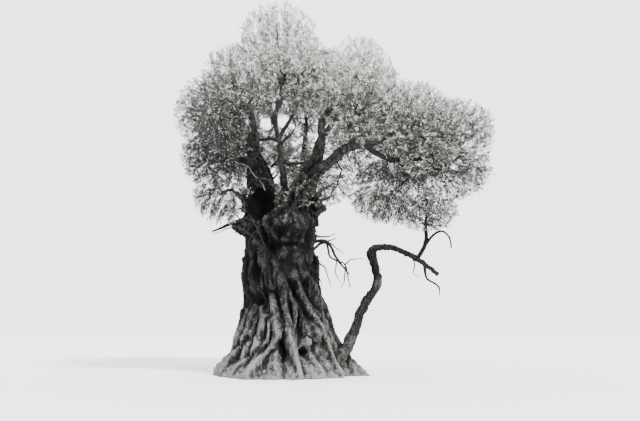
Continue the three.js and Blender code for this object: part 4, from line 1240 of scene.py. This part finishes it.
def make_limbs(name, members, material):
    """The slimmer limbs as one piece, each a tube that roots in its parent."""
    parts = []
    for member in members:
        thick = limbs[member].radii[0] > 0.07
        parts.append(limb_tube(member, sides=16 if thick else 12, step=0.04))
    piece = new_object(name, *joined(parts), [material])
    roughen(piece, *LIMB_GRAIN)
    mark_bark(piece, LIMB_ROUNDS)
    return piece


def kinked_line(twig):
    """A twig's line with small kinks, and the shares of its points."""
    shares = np.linspace(0, 1, max(6, int(twig.length() / 0.05)))
    line = twig.point(shares)
    kinks = np.array([[rough(place + 9.1 * axis, KINK_LENGTH, 2) for axis in range(3)] for place in line])
    return line + KINK * kinks * np.sin(np.pi * shares)[:, None], shares


def make_twigs(name, twigs, material):
    """Thin twigs as one piece."""
    parts = []
    for points, foot, tip in twigs:
        twig = Limb(points, [foot, tip])
        line, shares = kinked_line(twig)
        parts.append(tube(line, twig.radius(shares), 7))
    return new_object(name, *joined(parts), [material])


# Foliage: meshes

LEAF_LENGTH = 0.070
LEAF_WIDTH = 0.0175
LEAF_GAP = 0.0195
LEAF_ANGLES = (1.25, 0.60)  # between a leaf and its shoot, at the shoot's foot and tip
LEAF_BROADEST = 0.42  # the share of its length at which a leaf is broadest
LEAF_RISE = 0.05  # the share of its length by which it stands out of its line there
LEAF_CURL = 0.08  # the share of its length by which its tip curls the other way
ODD_LEAVES = 0.20  # the share of leaves in any tint at all
SHOOT_LEAST = 0.12
SHOOT_MOST = 0.27
SHOOT_GAP = 0.046
OPEN_TOP = 0.72  # the share of shoots that is left at the top of the crown
OPEN_HEIGHTS = (7.4, 9.8)
BARE_SHARE = 0.40  # the share of a leafy twig that is bare, from its foot
SHOOTS_AT_ONCE = 2
FORK_SHOOTS = 3
FORK_TWIGS = 36
FORK_LOWEST = (-1.00, 0.50, 5.35)  # the tips of the twigs behind the fork lie between these corners
FORK_HIGHEST = (1.20, 1.40, 7.15)
FORK_TWIG_RADII = (0.016, 0.005)
FORK_TINT = 2  # the darkest tint of their leaves
TIP_RADIUS = 0.0050
TWIG_SWELL = 0.46  # the power of its load by which a twig is thicker
SHOOT_RADII = [0.0022, 0.0010]
LEAF_TINTS = 5
TINT_STEPS = [0.38, 0.52, 0.66, 0.80]  # the lightness above which a spray takes each next tint
# What each cause adds is painted light and shade: by edge, painted light outside and shade deep in a mass;
# by height, painted light towards the crown's top; by side, painted shade on the left and light on the
# right. By chance and by shoot scatter these tints at random.
DARKEST = -0.10  # the lightness of a spray: its least, and what each cause adds at most
BY_CHANCE = 0.26
BY_EDGE = 0.18
BY_HEIGHT = 0.62
BY_SIDE = 0.30
BY_SHOOT = 0.60
CROWN_HEIGHTS = (5.6, 9.6)
CROWN_SIDES = (-2.5, 2.0)
REGIONS = {  # the masses of each piece of leaves
    "top": ["crown_top", "crown_top_right", "crown_front_top", "crown_upper_left"],
    "left": ["crown_left", "crown_left_low", "crown_left_hanging", "crown_front_left", "crown_back_left"],
    "right": ["crown_right_shoulder", "crown_right_mid", "crown_front_right"],
    "far": ["crown_far_right", "crown_front_far", "crown_back_far"],
    "low": ["crown_far_low", "crown_right_under", "crown_arm", "crown_back_low"],
    "back": ["crown_back_top", "crown_back_right"],
}
TWIG_REGIONS = {"left": ["top", "left"], "right": ["right", "far"], "low": ["low", "back"]}


def bent_lines(starts, ends, steps, sway):
    """Lines from starts to ends with a slow bend to one side: (N, steps, 3)."""
    chord = ends - starts
    length = np.linalg.norm(chord, axis=1, keepdims=True)
    turn = rng.uniform(0, 2 * np.pi, len(starts))
    amount = rng.uniform(0.3, 1, (len(starts), 1)) * sway * length
    aside = amount * towards(turn, *across(unit(chord)))
    share = np.linspace(0, 1, steps)
    bow = np.sin(np.pi * share) + 0.35 * np.sin(2 * np.pi * share)
    return starts[:, None] + share[None, :, None] * chord[:, None] + bow[None, :, None] * aside[:, None]


def on_lines(lines, which, share):
    """The points at a share of chosen lines."""
    place = share * (lines.shape[1] - 1)
    i = np.minimum(place.astype(int), lines.shape[1] - 2)
    return lerp(lines[which, i], lines[which, i + 1], (place - i)[:, None])


def shoots_on(reach, lines, lift, space):
    """Shoots along each spray: their roots, headings, lengths and sprays, where there is room for them."""
    counts = np.maximum(3, (reach / SHOOT_GAP).astype(int))
    which = np.repeat(np.arange(len(reach)), counts)
    number = np.concatenate([np.arange(count) for count in counts])
    share = np.minimum(0.12 + 0.88 * (number + 0.9) / counts[which], 1)
    roots = on_lines(lines, which, share)
    along = unit(lines[which, -1] - lines[which, 0])
    turn = number * 2.4 + which + rng.uniform(-0.5, 0.5, len(which))
    angle = np.where(number == counts[which] - 1, 0.1, rng.uniform(0.55, 1.0, len(which)))
    headings = towards(angle, along, towards(turn, *across(along)))
    headings[:, 2] += 0.8 * lift
    headings = unit(headings)
    lengths = rng.uniform(SHOOT_LEAST, SHOOT_MOST, len(which)) * lerp(1.0, 0.75, share)
    tips = roots + headings * lengths[:, None]
    free = space.is_free(tips, 0.0, SHOOT_EDGE, SPOT_MARGIN) & in_box(tips, SHOOT_PAST)
    free &= rng.random(len(which)) < lerp(1, OPEN_TOP, smoothstep(tips[:, 2], *OPEN_HEIGHTS))
    free &= space.is_free(roots + headings * 0.6 * lengths[:, None], 0.0, SHOOT_EDGE, SPOT_MARGIN)
    return roots[free], headings[free], lengths[free], which[free]


def leaves_on(roots, headings, lengths, tints):
    """Pairs of leaves along each shoot, each pair turned a quarter from the last: points, faces and tints.

    A leaf is a slim lance, folded a little along its middle.
    """
    pairs = np.maximum(3, (lengths / LEAF_GAP).astype(int))
    which = np.repeat(np.arange(len(roots)), 2 * pairs)
    number = np.concatenate([np.arange(2 * count) for count in pairs])
    pair, side = number // 2, number % 2
    share = (pair + 0.8) / pairs[which]
    base = roots[which] + headings[which] * (lengths[which] * share)[:, None]
    u, v = across(headings)
    turn = (pair % 2) * np.pi / 2 + side * np.pi + which * 1.7 + rng.uniform(-0.5, 0.5, len(which))
    angle = lerp(*LEAF_ANGLES, share) + rng.uniform(-0.35, 0.35, len(which))
    way = unit(towards(angle, headings[which], towards(turn, u[which], v[which])))
    facing = unit(np.cross(np.cross(way, headings[which]), way))
    edge = towards(rng.uniform(-0.7, 0.7, len(which)), unit(np.cross(way, facing)), facing)
    bow = np.cross(way, edge)
    long = (LEAF_LENGTH * rng.uniform(0.75, 1.15, len(which)) * lerp(1.0, 0.8, share))[:, None]
    wide = 0.5 * LEAF_WIDTH * rng.uniform(0.8, 1.15, len(which))[:, None]
    middle = base + LEAF_BROADEST * long * way + LEAF_RISE * long * bow
    tip = base + long * way - LEAF_CURL * long * bow
    points = np.stack([base, middle + wide * edge, tip, middle - wide * edge], 1)
    leaf = np.array([[0, 1, 2], [0, 2, 3]])
    faces = leaf[None] + 4 * np.arange(len(which))[:, None, None]
    tint = np.clip(tints[which] + rng.integers(-1, 2, len(which)), 0, LEAF_TINTS - 1)
    odd = rng.random(len(which)) < ODD_LEAVES
    tint = np.where(odd, rng.integers(0, LEAF_TINTS, len(which)), tint)
    return points.reshape(-1, 3), faces.reshape(-1, 3), np.repeat(tint, 2)


def twigs_behind_fork():
    """Leafy twigs from the two back boughs into the space behind the fork."""
    twigs = []
    for i in range(FORK_TWIGS):
        root = limbs[("bough_back", "bough_back_left")[i % 2]].point(fork_rng.uniform(0.35, 0.95))
        tip = fork_rng.uniform(FORK_LOWEST, FORK_HIGHEST)
        middle = lerp(root, tip, 0.5) + 0.10 * unit(fork_rng.normal(size=3))
        twigs.append(([root, middle, tip], *FORK_TWIG_RADII))
    return twigs


def make_twig_leaves(name, twigs, shoots_at_once, darkest, materials):
    """Short leafy shoots on the outer part of leafy twigs, as one piece."""
    roots = []
    for points, foot, tip in twigs:
        line, shares = kinked_line(Limb(points, [foot, tip]))
        bearing = line[shares > BARE_SHARE]
        roots += [place for place in bearing for _ in range(shoots_at_once)]
    roots = np.array(roots)
    headings = unit(unit(rng.normal(size=roots.shape)) + np.array([0, -0.3, 0.2]))
    lengths = rng.uniform(0.05, 0.13, len(roots))
    tints = rng.integers(darkest, darkest + 3, len(roots))
    points, faces, choice = leaves_on(roots, headings, lengths, tints)
    return new_object(name, points, faces, materials, choice)


def dress_mass(mass):
    """One mass's wood and leaves as arrays."""
    space, stem, wood, sprays = grow_mass(mass)
    shares = np.linspace(0, 1, 14)
    parts = [tube(stem.point(shares), stem.radius(shares), 8)]
    thickness = np.minimum(TWIG_RADIUS, TIP_RADIUS * wood.loads() ** TWIG_SWELL)
    for steps, sides in ((TWIG_POINTS, 5), (FINE_TWIG_POINTS, 3)):
        chosen = [k for k, line in enumerate(wood.lines) if len(line) == steps]
        lines = np.array([wood.lines[k] for k in chosen])
        radii = lerp(thickness[chosen][:, None], TIP_RADIUS, np.linspace(0, 1, steps) ** 1.5)
        parts.append(slim_tubes(lines, radii, sides))
    roots, headings, reach = (np.array(part) for part in zip(*sprays))
    lines = bent_lines(roots, roots + 0.85 * reach[:, None] * headings, 4, 0.07)
    parts.append(slim_tubes(lines, np.broadcast_to(np.linspace(TIP_RADIUS, 0.002, 4), (len(sprays), 4)), 3))
    shoot_roots, shoot_headings, lengths, which = shoots_on(reach, lines, mass.lift, space)
    shoots = np.stack([shoot_roots, shoot_roots + shoot_headings * lengths[:, None]], 1)
    parts.append(slim_tubes(shoots, np.broadcast_to(SHOOT_RADII, (len(shoots), 2)), 3))
    tips = roots + 0.6 * reach[:, None] * headings
    # Painted light and shade by spray: paler at the mass's edge, high up and to the right, darker deep
    # inside, low and to the left.
    outward = np.clip(mass.measure(tips), 0, 1) ** 2
    lightness = BY_CHANCE * rng.random(len(sprays)) + BY_EDGE * outward
    lightness = lightness + BY_HEIGHT * smoothstep(tips[:, 2], *CROWN_HEIGHTS)
    lightness += BY_SIDE * smoothstep(tips[:, 0], *CROWN_SIDES) + DARKEST
    tints = np.searchsorted(TINT_STEPS, lightness[which] + BY_SHOOT * (rng.random(len(which)) - 0.5))
    return parts, leaves_on(shoot_roots, shoot_headings, lengths, tints)


# Materials


def with_inputs(node, values):
    """A node with values for some of its inputs."""
    for name, value in values.items():
        node.inputs[name].default_value = value
    return node


def node_material(name, roughness, colour):
    """A material with the values of its shader that every one here sets."""
    material = bpy.data.materials.new(name)
    material.use_nodes = True
    material.diffuse_color = (*colour, 1)
    nodes = material.node_tree.nodes
    values = {"Base Color": (*colour, 1), "Roughness": roughness, "Specular IOR Level": 0.12}
    return material, nodes, material.node_tree.links, with_inputs(nodes["Principled BSDF"], values)


def ramp_node(nodes, stops):
    ramp = nodes.new("ShaderNodeValToRGB")
    while len(ramp.color_ramp.elements) < len(stops):
        ramp.color_ramp.elements.new(0.5)
    for element, (place, grey) in zip(ramp.color_ramp.elements, stops):
        element.position = place
        element.color = (*grey, 1) if isinstance(grey, tuple) else (grey, grey * 0.97, grey * 0.93, 1)
    return ramp


def noise_node(nodes, links, place, scale, detail, roughness):
    values = {"Scale": scale, "Detail": detail, "Roughness": roughness}
    texture = with_inputs(nodes.new("ShaderNodeTexNoise"), values)
    links.new(place, texture.inputs["Vector"])
    return texture.outputs["Fac"]


def attribute_node(nodes, name):
    attribute = nodes.new("ShaderNodeAttribute")
    attribute.attribute_name = name
    return attribute.outputs["Fac"]


def bark_material(name, stops, streak_scale, bump, grain_weight):
    """Grey bark: painted shade in its furrows, painted highlights on its ridges, and patches, long streaks
    and grain.
    """
    material, nodes, links, shader = node_material(name, 0.92, (0.2, 0.19, 0.18))
    place = nodes.new("ShaderNodeTexCoord").outputs["Object"]
    stretched = with_inputs(nodes.new("ShaderNodeMapping"), {"Scale": (1, 1, 0.22)})
    links.new(place, stretched.inputs["Vector"])
    relief = attribute_node(nodes, "relief")
    patches = noise_node(nodes, links, place, 2.3, 6, 0.65)
    streaks = noise_node(nodes, links, stretched.outputs["Vector"], streak_scale, 7, 0.7)
    grain = noise_node(nodes, links, place, 30, 5, 0.8)
    # The 'pale' attribute brings in the painted light at the foot and the painted shade under the crown.
    tone = attribute_node(nodes, "pale")
    # Relief paints shade into the furrows and highlights onto the ridges; patches, streaks and grain are
    # the bark's own tone.
    for source, weight in ((relief, 0.55), (patches, 0.16), (streaks, 0.36), (grain, grain_weight)):
        weighed = nodes.new("ShaderNodeMath")
        weighed.operation = "MULTIPLY_ADD"
        weighed.inputs[1].default_value = weight
        links.new(source, weighed.inputs[0])
        links.new(tone, weighed.inputs[2])
        tone = weighed.outputs["Value"]
    ramp = ramp_node(nodes, stops)
    links.new(tone, ramp.inputs["Fac"])
    links.new(ramp.outputs["Color"], shader.inputs["Base Color"])
    grooves = with_inputs(nodes.new("ShaderNodeBump"), {"Strength": bump, "Distance": 0.02})
    links.new(tone, grooves.inputs["Height"])
    links.new(grooves.outputs["Normal"], shader.inputs["Normal"])
    dull = with_inputs(nodes.new("ShaderNodeMapRange"), {"To Min": 0.82, "To Max": 0.98})
    links.new(streaks, dull.inputs["Value"])
    links.new(dull.outputs["Result"], shader.inputs["Roughness"])
    return material


def leaf_material(name, colour):
    """One tint of leaf, a little uneven from leaf to leaf, with a soft gloss."""
    material, nodes, links, shader = node_material(name, 0.48, colour)
    shader.inputs["Specular IOR Level"].default_value = 0.45
    place = nodes.new("ShaderNodeTexCoord").outputs["Object"]
    uneven = noise_node(nodes, links, place, 14, 2, 0.5)
    dark = tuple(0.72 * channel for channel in colour)
    light = tuple(min(1, 1.25 * channel) for channel in colour)
    ramp = ramp_node(nodes, [(0.35, dark), (0.65, light)])
    links.new(uneven, ramp.inputs["Fac"])
    links.new(ramp.outputs["Color"], shader.inputs["Base Color"])
    return material


# The tints of leaf: painted light and shade on a dull grey-green, from almost black in deep shade
# to silvery undersides in full light.
LIT_AND_SHADED_LEAF_COLOURS = [
    (0.004, 0.005, 0.004),
    (0.014, 0.016, 0.012),
    (0.055, 0.060, 0.049),
    (0.220, 0.230, 0.200),
    (0.640, 0.650, 0.610),
]


# The greys of each bark, from painted shade in its furrows to painted highlight on its ridges: tone and
# grey.
BARK_GREYS = [(0.28, 0.002), (0.48, 0.009), (0.62, 0.026), (0.78, 0.070), (0.95, 0.160)]
TWIG_GREYS = [(0.40, 0.003), (0.90, 0.026)]
PALE_GREYS = [(0.40, 0.050), (0.90, 0.200)]
DEAD_GREYS = [(0.30, 0.003), (0.80, 0.030)]


def hand_in(piece, slot, *nodes):
    """Puts a piece on the tree's one body, in place of the solids that it replaces. Its slot is not used.
    """
    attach(piece, "root")
    if nodes:
        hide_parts(*nodes)


def dress():
    bark = bark_material("bark", BARK_GREYS, streak_scale=9, bump=1.0, grain_weight=1.70)
    twig_bark = bark_material("twig_bark", TWIG_GREYS, streak_scale=30, bump=0.3, grain_weight=0.80)
    pale_wood = bark_material("pale_wood", PALE_GREYS, streak_scale=30, bump=0.3, grain_weight=0.80)
    dead_wood = bark_material("dead_wood", DEAD_GREYS, streak_scale=24, bump=0.4, grain_weight=1.70)
    tints = [leaf_material(f"leaf_{i + 1}", colour) for i, colour in enumerate(LIT_AND_SHADED_LEAF_COLOURS)]

    slim = [name for name in limbs if name not in FUSED_LIMBS and name not in DEAD_LIMBS]
    boughs = [name for name in slim if name.startswith("bough")]
    shoots = [name for name in slim if name.startswith("arm")]
    for piece, nodes in (
        (make_trunk(bark), ["trunk", *FUSED_LIMBS]),
        (make_limbs("bough_bark", boughs, bark), boughs),
        (make_limbs("arm_shoot_bark", shoots, bark), shoots),
        (make_limbs("dead_wood", DEAD_LIMBS, dead_wood), DEAD_LIMBS),
    ):
        hand_in(piece, "bark", *nodes)
    hand_in(make_twigs("bare_twigs", BARE_TWIGS + LEAFY_TWIGS, twig_bark), "bark")
    hand_in(make_twigs("pale_twigs", PALE_TWIGS, pale_wood), "bark")
    hand_in(make_twig_leaves("twig_leaves", LEAFY_TWIGS, SHOOTS_AT_ONCE, 0, tints), "leaves")

    wood = {}
    grown = {}
    for mass in masses:
        wood[mass.name], grown[mass.name] = dress_mass(mass)
    for side, regions in TWIG_REGIONS.items():
        parts = [part for region in regions for member in REGIONS[region] for part in wood[member]]
        hand_in(new_object(f"twigs_{side}", *joined(parts), [twig_bark]), "bark")
    for region, members in REGIONS.items():
        points, faces = joined([grown[member][:2] for member in members])
        choice = np.concatenate([grown[member][2] for member in members])
        hand_in(new_object(f"leaves_{region}", points, faces, tints, choice), "leaves", *members)
    behind = twigs_behind_fork()
    hand_in(make_twigs("fork_twigs", behind, twig_bark), "bark")
    hand_in(make_twig_leaves("fork_leaves", behind, FORK_SHOOTS, FORK_TINT, tints), "leaves")


dress()

# Stage: a plain pale floor, soft studio light and the camera at the photograph's angle


def make_stage():
    floor_mesh = bpy.data.meshes.new("floor")
    half = 60
    corners = [(-half, -half, 0), (half, -half, 0), (half, half, 0), (-half, half, 0)]
    floor_mesh.from_pydata(corners, [], [(0, 1, 2, 3)])
    pale = bpy.data.materials.new("pale_floor")
    pale.use_nodes = True
    grey = {"Base Color": (0.72, 0.72, 0.72, 1), "Roughness": 0.9}
    with_inputs(pale.node_tree.nodes["Principled BSDF"], grey)
    floor_mesh.materials.append(pale)
    placed("floor", floor_mesh)

    world = bpy.data.worlds.new("studio")
    world.use_nodes = True
    with_inputs(world.node_tree.nodes["Background"], {"Color": (1, 1, 1, 1), "Strength": 3.4})
    bpy.context.scene.world = world

    key = bpy.data.lights.new("key", "SUN")
    key.energy = 9.0
    key.angle = math.radians(12)
    placed("key", key).rotation_euler = (math.radians(48), math.radians(12), math.radians(28))


SENSOR_WIDTH = 36
LENS = 45
TILT = 7.794  # in degrees, upwards


def make_camera():
    """The camera of the calibration, at the viewer's eye."""
    camera = bpy.data.cameras.new("camera")
    camera.sensor_width = SENSOR_WIDTH
    camera.lens = LENS
    camera.clip_end = 500
    viewer = placed("camera", camera)
    viewer.location = EYE
    viewer.rotation_euler = (math.radians(90 + TILT), 0, 0)
    bpy.context.scene.camera = viewer


make_stage()
make_camera()
